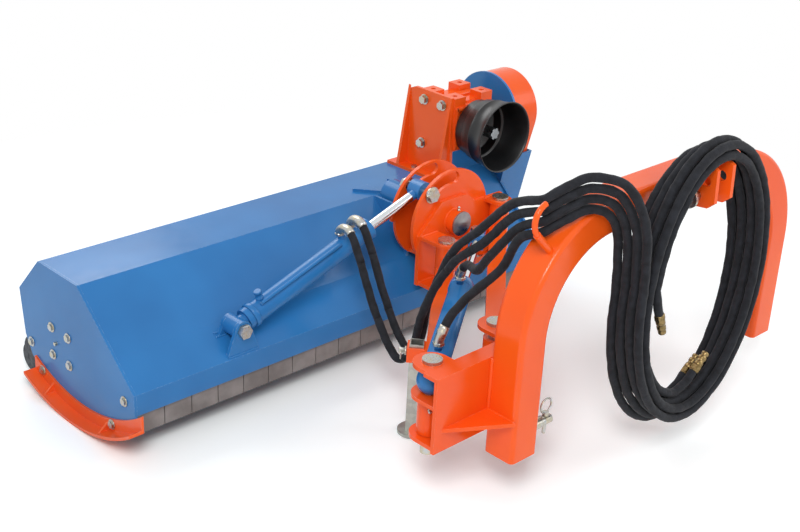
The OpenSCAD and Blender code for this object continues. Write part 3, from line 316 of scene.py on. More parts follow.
# %% [markdown]
# A hose ends in a crimped ferrule, a hex nut and the male half of a quick coupler with its locking groove.
# The shape is round about one line apart from the hex, so it takes three spun profiles, one after the other.

# %% Couplers
COUPLER_GAP = 0.4 * MM
COUPLER_ROUND = [(9.5, 0), (11.8, 1), (11.8, 3)]
COUPLER_HEX = [(12.5, 3), (13.8, 4.5), (13.8, 16.5), (12.5, 18)]
COUPLER_NIPPLE = [(10.5, 18), (11.8, 20), (11.8, 30), (9.6, 32), (9.6, 38), (11.2, 40), (11.2, 48),
                  (8.5, 50), (8.5, 53), (10, 55), (10, 61), (8.8, 62)]
couplers = []
for k, path in enumerate(paths):
    way = (path[-1] - path[-2]).normalized()
    at = along(path[-1] + way * COUPLER_GAP, way)
    bm = bmesh.new()
    spin(bm, COUPLER_ROUND, FINE, at)
    spin(bm, COUPLER_HEX, HEX, at)
    spin(bm, COUPLER_NIPPLE, FINE, at)
    coupler = from_bmesh(f"coupler_{k + 1}", bm)
    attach(coupler, "headstock")
    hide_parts("hose_couplers")
    couplers.append(coupler)
print("couplers:", len(couplers))

# %% [markdown]
# The side-shift hoses cross one joint, and each stays one mesh. The tilt hoses cross five, and a mesh bends
# across one joint only. The tilt hoses cross five, so each is cut where its way forward passes a chosen
# place, and what lies past the last cut makes a fifth piece.

# %% Sweep and cut each hose
CUTS = [-66, -150, -262, -385]
hoses = []


def lay_hose(name, path, replaced):
    hose = sweep(name, path, HOSE_R, crease=CREASE_DEEP)
    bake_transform(hose)
    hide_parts(*replaced)
    hoses.append(hose)


for k, path in enumerate(paths[:2]):
    lay_hose(f"shift_hose_{k + 1}", path,
             ("shift_hoses", "hose_hank"))
for k, path in enumerate(paths[2:]):
    cuts = [place((0, y, 0))[1] for y in CUTS]
    marks = [0] + [next(i for i, p in enumerate(path) if p[1] < y) for y in cuts]
    for part, (first, last) in enumerate(zip(marks, marks[1:])):
        lay_hose(f"tilt_hose_{k + 1}_{part + 1}", path[first:last + 1],
                 ("tilt_hoses",))
    rest = path[marks[-1]:]
    lay_hose(f"tilt_hose_{k + 1}_5", rest,
             ("tilt_hoses", "hose_hank"))
print("hoses:", len(hoses), "pieces")

# %% [markdown]
# Colours are written as the eye reads them on a screen, in hex, and one function turns them into the linear
# values that the shader works with. One small function adds a node with its settings and its links, and a
# material is then a list of such nodes, from the place on the surface to the shader.


# %% Helpers for materials
def linear(code):
    values = [int(code[i:i + 2], 16) / 255 for i in (1, 3, 5)]
    return [v / 12.92 if v <= 0.04045 else ((v + 0.055) / 1.055) ** 2.4 for v in values] + [1]


def add(material, kind, inputs=(), **settings):
    node = material.node_tree.nodes.new(kind)
    for name, value in settings.items():
        setattr(node, name, value)
    for name, value in dict(inputs).items():
        if isinstance(value, bpy.types.NodeSocket):
            material.node_tree.links.new(value, node.inputs[name])
        else:
            node.inputs[name].default_value = value
    return node


def blank(name):
    material = bpy.data.materials.new(name)
    material.use_nodes = True
    material.node_tree.nodes.clear()
    return material


print("middle grey is", round(linear("#808080")[0], 3), "in linear light")

# %% [markdown]
# The frame and the deck are powder-coated steel: polyester powder, sprayed and baked. That gives a satin
# gloss with a slight orange peel, about 5 mm from crest to crest. Edges keep less powder, so they look a
# touch paler and pick up small chips, and dust settles low down. The edge mask compares the true normal with
# one that is rounded over 2.6 mm, so it finds edges on any shape without painting them by hand.

# %% Powder-coated steel
FADE, EDGE, CHIP, GRIT, TOUCH, PEEL = (size * MM for size in (260, 2.6, 9, 45, 30, 5))
DUST_TOP = 140 * MM
PEEL_DEEP = 0.05 * MM
ORANGE, ORANGE_FADED, ORANGE_CHIP = "#F05C17", "#EA5314", "#F3A07C"
BLUE, BLUE_FADED, BLUE_CHIP = "#2B76B6", "#266CAA", "#A9C4DC"
DUST = "#8D8577"


def powder_coat(name, colour, faded, chip):
    m = blank(name)
    where = add(m, "ShaderNodeTexCoord").outputs["Object"]
    cloud = add(m, "ShaderNodeTexNoise", {"Vector": where, "Scale": 1 / FADE, "Detail": 2}).outputs["Fac"]
    drift = add(m, "ShaderNodeMapRange",
                {"Value": cloud, "From Min": 0.35, "From Max": 0.65}).outputs["Result"]
    shade = add(m, "ShaderNodeMix", {0: drift, 6: linear(colour), 7: linear(faded)},
                data_type="RGBA").outputs[2]
    rounded = add(m, "ShaderNodeBevel", {"Radius": EDGE}, samples=4).outputs["Normal"]
    true = add(m, "ShaderNodeNewGeometry").outputs["Normal"]
    same = add(m, "ShaderNodeVectorMath", {0: rounded, 1: true}, operation="DOT_PRODUCT").outputs["Value"]
    edge = add(m, "ShaderNodeMapRange", {"Value": same, "From Min": 0.86, "From Max": 0.995, "To Min": 1,
                                         "To Max": 0}).outputs["Result"]
    speck = add(m, "ShaderNodeTexNoise", {"Vector": where, "Scale": 1 / CHIP, "Detail": 4}).outputs["Fac"]
    chips = add(m, "ShaderNodeMapRange", {"Value": speck, "From Min": 0.48, "From Max": 0.66, "To Min": 0.06,
                                          "To Max": 0.45}).outputs["Result"]
    chipped = add(m, "ShaderNodeMath", {0: edge, 1: chips}, operation="MULTIPLY").outputs[0]
    worn = add(m, "ShaderNodeMix", {0: chipped, 6: shade, 7: linear(chip)}, data_type="RGBA").outputs[2]
    height = add(m, "ShaderNodeSeparateXYZ", {0: where}).outputs["Z"]
    low = add(m, "ShaderNodeMapRange", {"Value": height, "From Min": 0, "From Max": DUST_TOP, "To Min": 0.22,
                                        "To Max": 0}).outputs["Result"]
    grit = add(m, "ShaderNodeTexNoise", {"Vector": where, "Scale": 1 / GRIT, "Detail": 4}).outputs["Fac"]
    dust = add(m, "ShaderNodeMath", {0: low, 1: grit}, operation="MULTIPLY").outputs[0]
    dusty = add(m, "ShaderNodeMix", {0: dust, 6: worn, 7: linear(DUST)}, data_type="RGBA").outputs[2]
    touch = add(m, "ShaderNodeTexNoise", {"Vector": where, "Scale": 1 / TOUCH, "Detail": 3}).outputs["Fac"]
    gloss = add(m, "ShaderNodeMapRange", {"Value": touch, "From Min": 0.35, "From Max": 0.65, "To Min": 0.16,
                                          "To Max": 0.26}).outputs["Result"]
    peel = add(m, "ShaderNodeTexNoise", {"Vector": where, "Scale": 1 / PEEL, "Detail": 1}).outputs["Fac"]
    relief = add(m, "ShaderNodeBump",
                 {"Height": peel, "Distance": PEEL_DEEP, "Strength": 0.4}).outputs["Normal"]
    skin = add(m, "ShaderNodeBsdfPrincipled", {"Base Color": dusty, "Roughness": gloss, "IOR": 1.45,
                                               "Specular IOR Level": 0.36, "Normal": relief})
    add(m, "ShaderNodeOutputMaterial", {"Surface": skin.outputs["BSDF"]})
    return m


orange_coat = powder_coat("powder_coated_steel_orange", ORANGE, ORANGE_FADED, ORANGE_CHIP)
blue_coat = powder_coat("powder_coated_steel_blue", BLUE, BLUE_FADED, BLUE_CHIP)
print("powder coats:", orange_coat.name, blue_coat.name)

# %% [markdown]
# Small hardware is bright zinc plate: electroplated and passivated, so it is grey with a faint blue or straw
# cast in clouds. Working steel is turned or ground, and couplers are turned brass. A metal has no colour of
# its own under the gloss, so the cast sits in the reflection, and fine scratches spread it.


# %% Metals
def metal(name, colour, cast, roughness, cloud_mm, scratch_mm=1.2, depth_mm=0.02):
    m = blank(name)
    where = add(m, "ShaderNodeTexCoord").outputs["Object"]
    cloud = add(m, "ShaderNodeTexNoise",
                {"Vector": where, "Scale": 1 / (cloud_mm * MM), "Detail": 3}).outputs["Fac"]
    drift = add(m, "ShaderNodeMapRange",
                {"Value": cloud, "From Min": 0.35, "From Max": 0.65}).outputs["Result"]
    shade = add(m, "ShaderNodeMix", {0: drift, 6: linear(colour), 7: linear(cast)},
                data_type="RGBA").outputs[2]
    rub = add(m, "ShaderNodeTexNoise",
              {"Vector": where, "Scale": 3 / (cloud_mm * MM), "Detail": 4}).outputs["Fac"]
    gloss = add(m, "ShaderNodeMapRange",
                {"Value": rub, "From Min": 0.35, "From Max": 0.65, "To Min": roughness * 0.8,
                 "To Max": roughness * 1.35}).outputs["Result"]
    scratch = add(m, "ShaderNodeTexNoise",
                  {"Vector": where, "Scale": 1 / (scratch_mm * MM), "Detail": 2}).outputs["Fac"]
    relief = add(m, "ShaderNodeBump",
                 {"Height": scratch, "Distance": depth_mm * MM, "Strength": 0.4}).outputs["Normal"]
    skin = add(m, "ShaderNodeBsdfPrincipled", {"Base Color": shade, "Roughness": gloss, "Metallic": 1.0,
                                               "Normal": relief})
    add(m, "ShaderNodeOutputMaterial", {"Surface": skin.outputs["BSDF"]})
    return m


zinc_plate = metal("bright_zinc_plated_steel", "#B4B8BC", "#BDB49D", 0.30, 14)
turned_steel = metal("turned_carbon_steel", "#9CA1A6", "#8B8E90", 0.34, 30)
black_steel = metal("oiled_black_steel", "#4A4C50", "#3C3D40", 0.46, 25, 2.0, 0.05)
brass = metal("turned_brass", "#98825A", "#75633F", 0.34, 8)
print("metals:", [m.name for m in (zinc_plate, turned_steel, black_steel, brass)])

# %% [markdown]
# A cylinder rod is hard chrome, ground to a mirror, but its eye is welded on and painted with the barrel.
# Both are one solid here, so the finish changes along the rod: a point's reach along the rod is its dot
# product with the rod's direction, and past the weld the paint takes over.

# %% Chromed rods with painted eyes
CHROME, CHROME_DULL = "#DDE0E3", "#D0D4D8"
CHROME_CLOUD = 60 * MM
EYE_PEEL_DEEP = 0.08 * MM
TILT_LUG, TILT_EYE, TILT_EYE_LONG = (338, 38, 240), (986.35, 38, 464.22), 40
SHIFT_ANCHOR, SHIFT_EYE, SHIFT_EYE_LONG = (425, -585, 325), (1100, -90, 325), 24


def chromed_rod(name, start, end, eye_long):
    first, last = place(start), place(end)
    way = (last - first).normalized()
    weld_at = last.dot(way) - eye_long * MM
    m = blank(name)
    where = add(m, "ShaderNodeTexCoord").outputs["Object"]
    reach = add(m, "ShaderNodeVectorMath", {0: where, 1: way}, operation="DOT_PRODUCT").outputs["Value"]
    paint = add(m, "ShaderNodeMath", {0: reach, 1: weld_at}, operation="GREATER_THAN").outputs[0]
    cloud = add(m, "ShaderNodeTexNoise",
                {"Vector": where, "Scale": 1 / CHROME_CLOUD, "Detail": 3}).outputs["Fac"]
    chrome = add(m, "ShaderNodeMix", {0: cloud, 6: linear(CHROME), 7: linear(CHROME_DULL)},
                 data_type="RGBA").outputs[2]
    coat = add(m, "ShaderNodeMix", {0: cloud, 6: linear(BLUE), 7: linear(BLUE_FADED)},
               data_type="RGBA").outputs[2]
    shade = add(m, "ShaderNodeMix", {0: paint, 6: chrome, 7: coat}, data_type="RGBA").outputs[2]
    gloss = add(m, "ShaderNodeMapRange", {"Value": paint, "To Min": 0.11, "To Max": 0.27}).outputs["Result"]
    shine = add(m, "ShaderNodeMapRange", {"Value": paint, "To Min": 1, "To Max": 0}).outputs["Result"]
    peel = add(m, "ShaderNodeTexNoise", {"Vector": where, "Scale": 1 / PEEL, "Detail": 1}).outputs["Fac"]
    wave = add(m, "ShaderNodeMath", {0: peel, 1: paint}, operation="MULTIPLY").outputs[0]
    relief = add(m, "ShaderNodeBump",
                 {"Height": wave, "Distance": EYE_PEEL_DEEP, "Strength": 0.5}).outputs["Normal"]
    skin = add(m, "ShaderNodeBsdfPrincipled", {"Base Color": shade, "Roughness": gloss, "Metallic": shine,
                                               "Normal": relief})
    add(m, "ShaderNodeOutputMaterial", {"Surface": skin.outputs["BSDF"]})
    return m


tilt_rod_finish = chromed_rod("ground_hard_chrome_tilt_rod", TILT_LUG, TILT_EYE, TILT_EYE_LONG)
shift_rod_finish = chromed_rod("ground_hard_chrome_shift_rod", SHIFT_ANCHOR, SHIFT_EYE, SHIFT_EYE_LONG)
print("rods:", tilt_rod_finish.name, shift_rod_finish.name)

# %% [markdown]
# The parking leg is hot-dip galvanised. Molten zinc freezes in crystals, a spangle about 12 mm across, and
# dulls to pale grey. A cell pattern gives each crystal its own grey and its own gloss.

# %% Hot-dip galvanised steel
SPANGLE, RIPPLES, RIPPLES_DEEP = 12 * MM, 6 * MM, 0.05 * MM
galvanised = blank("hot_dip_galvanised_steel")
where = add(galvanised, "ShaderNodeTexCoord").outputs["Object"]
spangle = add(galvanised, "ShaderNodeTexVoronoi", {"Vector": where, "Scale": 1 / SPANGLE}).outputs["Color"]
crystal = add(galvanised, "ShaderNodeSeparateXYZ", {0: spangle}).outputs["X"]
shade = add(galvanised, "ShaderNodeMix", {0: crystal, 6: linear("#A3A59F"), 7: linear("#B9BBB3")},
            data_type="RGBA").outputs[2]
gloss = add(galvanised, "ShaderNodeMapRange",
            {"Value": crystal, "To Min": 0.38, "To Max": 0.54}).outputs["Result"]
ripple = add(galvanised, "ShaderNodeTexNoise", {"Vector": where, "Scale": 1 / RIPPLES}).outputs["Fac"]
relief = add(galvanised, "ShaderNodeBump",
             {"Height": ripple, "Distance": RIPPLES_DEEP, "Strength": 0.5}).outputs["Normal"]
skin = add(galvanised, "ShaderNodeBsdfPrincipled", {"Base Color": shade, "Roughness": gloss, "Metallic": 1.0,
                                                    "Normal": relief})
add(galvanised, "ShaderNodeOutputMaterial", {"Surface": skin.outputs["BSDF"]})
print("spangle:", len(galvanised.node_tree.nodes), "nodes")

# %% [markdown]
# The flaps are cut from rubber sheet with a cloth pressed into its face. The belts and the guard are moulded,
# and so keep the fine grain of their mould. Each is a dull dielectric: two near tones in clouds, and a grain.


# %% Rubber and plastic
def moulded(name, colour, cast, cloud_mm, roughness, grain_mm, depth_mm):
    m = blank(name)
    where = add(m, "ShaderNodeTexCoord").outputs["Object"]
    cloud = add(m, "ShaderNodeTexNoise",
                {"Vector": where, "Scale": 1 / (cloud_mm * MM), "Detail": 4}).outputs["Fac"]
    drift = add(m, "ShaderNodeMapRange",
                {"Value": cloud, "From Min": 0.35, "From Max": 0.65}).outputs["Result"]
    shade = add(m, "ShaderNodeMix", {0: drift, 6: linear(colour), 7: linear(cast)},
                data_type="RGBA").outputs[2]
    gloss = add(m, "ShaderNodeMapRange",
                {"Value": drift, "To Min": roughness, "To Max": roughness * 1.15}).outputs["Result"]
    grain = add(m, "ShaderNodeTexNoise",
                {"Vector": where, "Scale": 1 / (grain_mm * MM), "Detail": 2}).outputs["Fac"]
    relief = add(m, "ShaderNodeBump",
                 {"Height": grain, "Distance": depth_mm * MM, "Strength": 0.6}).outputs["Normal"]
    skin = add(m, "ShaderNodeBsdfPrincipled", {"Base Color": shade, "Roughness": gloss, "IOR": 1.52,
                                               "Normal": relief})
    add(m, "ShaderNodeOutputMaterial", {"Surface": skin.outputs["BSDF"]})
    return m


flap_rubber = moulded("pressed_rubber_sheet", "#86807E", "#706A68", 60, 0.72, 2.2, 0.15)
belt_rubber = moulded("moulded_belt_rubber", "#191A1C", "#26272A", 20, 0.66, 2.0, 0.05)
guard_plastic = moulded("moulded_polyethylene", "#0B0C0D", "#131416", 70, 0.34, 1.6, 0.06)
print("rubber and plastic:", [m.name for m in (flap_rubber, belt_rubber, guard_plastic)])

# %% [markdown]
# Hoses wear a woven nylon sleeve that slides and wrinkles. The thread of a real sleeve is finer than a pixel,
# so its weave is drawn at 3 mm to show. The larger wrinkles are in the mesh already.
# Its colour follows the same folds: darker in their hollows and lighter on their crests, which is painted
# shade.

# %% Woven nylon
WRINKLE, THREAD, FOLD_DEEP = 19 * MM, 3 * MM, 3.0 * MM
sleeve = blank("woven_nylon_sleeve")
where = add(sleeve, "ShaderNodeTexCoord").outputs["Object"]
fold_and_painted_shade = add(sleeve, "ShaderNodeTexNoise",
              {"Vector": where, "Scale": 1 / WRINKLE, "Detail": 3}).outputs["Fac"]
# painted shade: the darker tone sits in the hollows of the folds, the lighter one on their crests
drift = add(sleeve, "ShaderNodeMapRange",
            {"Value": fold_and_painted_shade, "From Min": 0.3, "From Max": 0.7}).outputs["Result"]
shade = add(sleeve, "ShaderNodeMix", {0: drift, 6: linear("#16171B"), 7: linear("#24262C")},
            data_type="RGBA").outputs[2]
thread = add(sleeve, "ShaderNodeTexVoronoi", {"Vector": where, "Scale": 1 / THREAD}).outputs["Distance"]
weave = add(sleeve, "ShaderNodeMath", {0: thread, 1: 0.12}, operation="MULTIPLY").outputs[0]
folds = add(sleeve, "ShaderNodeMath", {0: fold_and_painted_shade, 1: weave}, operation="ADD").outputs[0]
relief = add(sleeve, "ShaderNodeBump",
             {"Height": folds, "Distance": FOLD_DEEP, "Strength": 0.75}).outputs["Normal"]
skin = add(sleeve, "ShaderNodeBsdfPrincipled",
           {"Base Color": shade, "Roughness": 0.78, "IOR": 1.53, "Normal": relief,
            "Specular IOR Level": 0.2, "Sheen Weight": 0.05, "Sheen Roughness": 0.5})
add(sleeve, "ShaderNodeOutputMaterial", {"Surface": skin.outputs["BSDF"]})
print("sleeve:", len(sleeve.node_tree.nodes), "nodes")

# %% [markdown]
# Every solid keeps its shape and gets the finish of its slot. A narrow bevel breaks the sharp edges, because
# no plate is cut to a knife edge and a broken edge is what catches the light.

# %% Give each node its finish
FINISH = {"orange_paint": orange_coat, "blue_paint": blue_coat, "zinc": zinc_plate, "steel": turned_steel,
          "dark_steel": black_steel, "chrome_rod": tilt_rod_finish, "black_plastic": guard_plastic,
          "belt_rubber": belt_rubber, "hose_cover": sleeve, "brass": brass, "flap_rubber": flap_rubber}
OWN_FINISH = {"stand_leg": galvanised, "shift_rod": shift_rod_finish}
BROKEN_EDGE = 1.2 * MM
SHARP = math.radians(40)


def dress(obj, material):
    obj.data.materials.clear()
    obj.data.materials.append(material)


slot_of = {s["node"]: s["material_slot"] for s in frame["record"]["subparts"]}
for name, obj in nodes.items():
    finish = OWN_FINISH.get(name, FINISH[slot_of[name]])
    for index in range(len(obj.material_slots)):
        obj.material_slots[index].material = finish
    if slot_of[name] in ("orange_paint", "blue_paint", "zinc"):
        edge = obj.modifiers.new("broken_edge", "BEVEL")
        edge.width = BROKEN_EDGE
        edge.segments = 2
        edge.limit_method = "ANGLE"
        edge.angle_limit = SHARP
for hose in hoses:
    dress(hose, sleeve)
for coupler in couplers:
    dress(coupler, brass)
print("dressed:", len(nodes) + len(hoses) + len(couplers))

# %% [markdown]
# The plates are welded, and a fillet weld is what tells the eye so: a bead of overlapping ripples about 6 mm
# apart. It is swept like a hose, with a radius that swells with each ripple, and painted with its plates.
# Every piece of the machine from here on rides on a body and takes the finish of a slot, so one helper does
# both.

# %% Helpers for weld beads
BEAD_R = 3.6 * MM
RIPPLE = 6 * MM
BEAD_STEP = 1.5 * MM
BEAD_SIDES = 8
VALLEY = 0.8


def settle(piece, body, slot, *replaced):
    """Rides a piece on its body, hides the nodes that it stands for, and gives it the finish of a slot."""
    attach(piece, body)
    if replaced:
        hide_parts(*replaced)
    dress(piece, FINISH[slot])


def line(a, b):
    start, end = place(a), place(b)
    count = max(4, round((end - start).length / BEAD_STEP))
    return [start.lerp(end, i / count) for i in range(count + 1)]


def take(bm, obj):
    """Moves the mesh of an object into another, and removes the object."""
    bm.from_mesh(obj.data)
    bpy.data.objects.remove(obj)


def rippled(seam, thick):
    """The radius of a bead, as a function of how far along it is."""
    ripples = run_length(seam) / RIPPLE
    return lambda t: thick * (VALLEY + (1 - VALLEY) * abs(math.sin(math.pi * ripples * t)))


def weld(name, body, slot, seams, thick=BEAD_R):
    bm = bmesh.new()
    for seam in seams:
        take(bm, sweep(name, seam, rippled(seam, thick), BEAD_SIDES))
    settle(from_bmesh(name, bm), body, slot)
    print(name, "with", len(seams), "seams")


print("a bead has a ripple every", round(RIPPLE / MM), "mm")

# %% [markdown]
# On the headstock, beads run down both faces of each top link ear, along the leg of the bow where the side
# bracket meets it, and on top of the bracket's gusset. The leg's own beads are thicker, as its corners are
# round.

# %% Beads on the headstock
BOW_MID, BOW_FRONT, BOW_BACK = 1097.5, -746, -656
BOW_LEG = (545, 635)
EAR_FACES, EAR_SEAM = (-38, -26, 26, 38), (645, 722)
LEG_SEAM = (182, 372)
EAR_SEAM_OUT, LEG_SEAM_IN, LEG_SEAM_DEEP, GUSSET_SEAM_IN = 1, 2.5, 3, 4
GUSSET_TOP = 238
LEG_BEAD_R = 6 * MM


def upright_seam(x, y, heights):
    return line((x, y, heights[0]), (x, y, heights[1]))


ear_seams = [upright_seam(BOW_MID + x, BOW_FRONT - EAR_SEAM_OUT, EAR_SEAM) for x in EAR_FACES]
leg_seams = [upright_seam(x, BOW_BACK - LEG_SEAM_DEEP, LEG_SEAM)
             for x in (BOW_LEG[0] + LEG_SEAM_IN, BOW_LEG[1] - LEG_SEAM_IN)]
gusset_seam = line((BOW_LEG[0], BOW_FRONT + GUSSET_SEAM_IN, GUSSET_TOP),
                   (BOW_LEG[0], BOW_BACK - GUSSET_SEAM_IN, GUSSET_TOP))
weld("headstock_welds", "headstock", "orange_paint", ear_seams + [gusset_seam])
weld("bow_leg_welds", "headstock", "orange_paint", leg_seams, LEG_BEAD_R)

# %% [markdown]
# On the mount they run along its ears and round the boss of the tilt shaft, on each arm a third of the
# way round both end tubes, and on the deck along the feet of the cylinder's lug, where the panel slopes.

# %% Beads on the mount, the arms and the deck
MOUNT_FACE = -22
MOUNT_EARS = [((940, 1008), (212, 352)), ((1196, 1264), (266, 408))]
MOUNT_BOSS, MOUNT_BOSS_R, MOUNT_BOSS_STEPS = (1070, 370), 36, 72
ARM_ANGLE = 42
ARM_TUBE_R, ARM_TUBE_HALF, ARM_TUBE_STEPS = 29, 58, 40
ARMS = [("outer", "outer_arm_body", ((425, -585), (974.18, -90.51)), 274),
        ("inner", "inner_arm_body", ((681, -547), (1230.18, -52.51)), 328)]
LUG_HALF, LUG_FOOT = 48, 172
LUG_FACES = [5.6, 15.6, 60.4, 70.4]
PANEL_SLOPE = 64 / 92


def arm_seam(centre, top, facing):
    turns = [math.radians(facing - ARM_TUBE_HALF + 2 * ARM_TUBE_HALF * i / ARM_TUBE_STEPS)
             for i in range(ARM_TUBE_STEPS + 1)]
    return [place((centre[0] + ARM_TUBE_R * math.cos(a), centre[1] + ARM_TUBE_R * math.sin(a), top))
            for a in turns]


def lug_seam(y):
    foot = LUG_FOOT + y * PANEL_SLOPE
    return line((TILT_LUG[0] - LUG_HALF, y, foot), (TILT_LUG[0] + LUG_HALF, y, foot))


mount_seams = [line((x[0], MOUNT_FACE, z), (x[1], MOUNT_FACE, z)) for x, levels in MOUNT_EARS for z in levels]
mount_seams.append([place((MOUNT_BOSS[0] + MOUNT_BOSS_R * math.cos(a), MOUNT_FACE,
                           MOUNT_BOSS[1] + MOUNT_BOSS_R * math.sin(a))) for a in around(MOUNT_BOSS_STEPS)])
weld("mount_welds", "mount", "orange_paint", mount_seams)
for name, body, (near, far), top in ARMS:
    weld(f"{name}_arm_welds", body, "orange_paint",
         [arm_seam(near, top, ARM_ANGLE), arm_seam(far, top, ARM_ANGLE + 180)])
weld("deck_welds", "deck", "blue_paint", [lug_seam(y) for y in LUG_FACES])

# %% [markdown]
# Where a hose meets a cylinder there is a plated elbow with a hex nut. The elbow follows the first bend of
# the hose, a little thicker than it, so it is swept along the same points. Its far half is crimped in rings.

# %% Elbows at the ports
ELBOW_LENGTH = {"shift_cylinder": 46 * MM, "tilt_cylinder": 78 * MM}
ELBOW_R, ELBOW_SIDES = 12.2 * MM, 20
CRIMP_FROM, CRIMP_PROUD, CRIMP_RATE = 0.55, 0.8 * MM, 60
ELBOW_NUT = [(13, 0), (14.5, 1.2), (14.5, 8), (13, 9.2)]
PORT_BODIES = ["shift_cylinder", "shift_cylinder", "tilt_cylinder", "tilt_cylinder"]


def crimped(t):
    return ELBOW_R + (CRIMP_PROUD if t > CRIMP_FROM and math.sin(CRIMP_RATE * t) > 0 else 0)


for k, (path, body) in enumerate(zip(paths, PORT_BODIES)):
    last = next(i for i in range(1, len(path)) if run_length(path[:i + 1]) >= ELBOW_LENGTH[body])
    name = f"port_elbow_{k + 1}"
    bm = bmesh.new()
    take(bm, sweep(name, path[:last + 1], crimped, ELBOW_SIDES))
    spin(bm, ELBOW_NUT, HEX, along(path[0], path[1] - path[0]))
    settle(from_bmesh(name, bm), body, "zinc")
    print(name, "bends with", last + 1, "points of its hose")

# %% [markdown]
# A thin steel pipe carries oil along the tilt cylinder to its far end, and bends into the barrel at both
# ends. It is swept like a hose. Its points are pairs: how far along the barrel, and how far out from its
# middle.

# %% Oil pipe on the tilt cylinder
LUG = Vector(TILT_LUG)
TILT_WAY = Vector((math.cos(TILT_ANGLE), 0, math.sin(TILT_ANGLE)))
PIPE_SIDE = TILT_UP * 0.8 + Vector((0, -0.6, 0))
PIPE_ROUTE = [(84, 26), (84, 38), (96, 41), (200, 41), (330, 41), (352, 41), (364, 38), (364, 26)]
PIPE_R, PIPE_SIDES, PIPE_STEPS = 5 * MM, 12, 6
pipe_points = [place(LUG + TILT_WAY * reach + PIPE_SIDE * out) for reach, out in PIPE_ROUTE]
pipe_path = smooth(pipe_points, PIPE_STEPS)
settle(sweep("oil_pipe", pipe_path, PIPE_R, PIPE_SIDES), "tilt_cylinder", "blue_paint")
print("oil pipe:", round(run_length(pipe_path), 3), "m")

# %% [markdown]
# The side-shift cylinder ends in a ball-shaped eye. Its barrel is turned anew with the ball, because a ball
# can't be laid over the plain round eye of the solid. It is hollow, so the rod can slide in it, and so its
# outline is a closed loop that is turned about the axis.

# %% Barrel of the side-shift cylinder
BARREL = [(3, 24), (27, 24), (30, 27), (30, 485), (32, 486), (33, 487), (33, 517), (31, 520), (19.4, 520),
          (19.4, 488), (27, 486), (27, 60), (3, 60)]
BALL_R, BALL_HALF, PIN_BORE, BALL_STEPS = 34.5, 28, 17.4, 8
PORT = [(9, 26), (9, 37), (10.6, 37.6), (10.6, 41.2), (9.8, 42)]
PORT_REACH = (94, 469)
BARREL_SIDES, PORT_SIDES = 48, 24
SHIFT_WAY = (Vector(SHIFT_EYE) - Vector(SHIFT_ANCHOR)).normalized()


def turn_loop(bm, outline, sides, at):
    """Turns a closed outline round the Z axis of a frame."""
    rings = turned_rings(bm, outline, sides, at)
    wrap(bm, rings + rings[:1])


ball_turns = [math.asin(BALL_HALF / BALL_R) * i / BALL_STEPS for i in range(-BALL_STEPS, BALL_STEPS + 1)]
ball = [(BALL_R * math.cos(a), BALL_R * math.sin(a)) for a in ball_turns]
ball += [(PIN_BORE, BALL_HALF), (PIN_BORE, -BALL_HALF)]
bm = bmesh.new()
turn_loop(bm, BARREL, BARREL_SIDES, along(place(SHIFT_ANCHOR), SHIFT_WAY))
turn_loop(bm, ball, BARREL_SIDES, along(place(SHIFT_ANCHOR), UP))
for reach in PORT_REACH:
    spin(bm, PORT, PORT_SIDES, along(place(Vector(SHIFT_ANCHOR) + SHIFT_WAY * reach), UP))
barrel = from_bmesh("shift_barrel_with_ball", bm)
settle(barrel, "shift_cylinder", "blue_paint", "shift_barrel")
print("barrel:", len(barrel.data.polygons), "faces")

# %% [markdown]
# The tilt cylinder keeps its solid. It gains a collar and a plugged stub where its cap is screwed on. Both
# are round, so the collar's closed outline is turned and the stub's profile is spun.

# %% Trim of the tilt cylinder
COLLAR = [(30.2, 0), (33, 1.5), (34, 3), (34, 15), (33, 16.5), (30.2, 18)]
STUB = [(11, 27), (11, 34), (8.5, 35), (8.5, 46), (10.4, 46.5), (10.4, 53), (9.4, 54)]
COLLAR_AT, STUB_AT = 46, 92
bm = bmesh.new()
turn_loop(bm, COLLAR, BARREL_SIDES, along(place(LUG + TILT_WAY * COLLAR_AT), TILT_WAY))
spin(bm, STUB, PORT_SIDES, along(place(LUG + TILT_WAY * STUB_AT), TILT_UP))
trim = from_bmesh("tilt_barrel_trim", bm)
settle(trim, "tilt_cylinder", "blue_paint")
print("trim:", len(trim.data.polygons), "faces")

# %% [markdown]
# The quill of the gearbox is held by set screws. Washers sit under the bolts of the end plate, and a grease
# nipple stands on every bearing that a fitter must reach. All of them are turned parts, so profiles are spun.

# %% Screws, washers and nipples
SCREW_WASHER = [(8.1, 0), (8.1, 1.6), (7.5, 2)]
SCREW_HEAD = [(6.6, 2), (6.6, 5), (5.7, 6.2)]
QUILL_FACE, QUILL_R, QUILL_TURNS = (1435, 262, 541), 56, range(30, 390, 60)
WASHER = [(13.4, 0), (14, 0.5), (14, 1.9), (13.4, 2.4)]
ROTOR_AXIS, FLANGE_OFF = (338, 170), 40
PLATE_BOLTS = [(490, 122), (43, 140)]
SKID_FACE, SKID_BOLTS = -6, [(430, 62), (96, 52)]
NIPPLE = [(5, 0), (5, 3), (3, 3.6), (3, 7), (4.2, 8), (4.2, 10), (2.4, 12), (1.4, 13)]
NIPPLES = [("deck_nipples", "deck", (1070, 150, 415), UP),
           ("outer_arm_nipples", "outer_arm_body", (405, -606, 262), (-0.69, -0.72, 0)),
           ("mount_nipples", "mount", (1070, -40, 406), UP)]
WASHER_SIDES, SCREW_SIDES, NIPPLE_SIDES = 32, 28, 16
TO_LEFT, TO_RIGHT = (-1, 0, 0), (1, 0, 0)


def hardware(name, body, items):
    """Spun profiles at (point, direction, profile, sides) places, as one zinc piece on a body."""
    bm = bmesh.new()
    for point, way, profile, sides in items:
        spin(bm, profile, sides, along(place(point), way))
    settle(from_bmesh(name, bm), body, "zinc")
    print(name, "from", len(items), "turned parts")


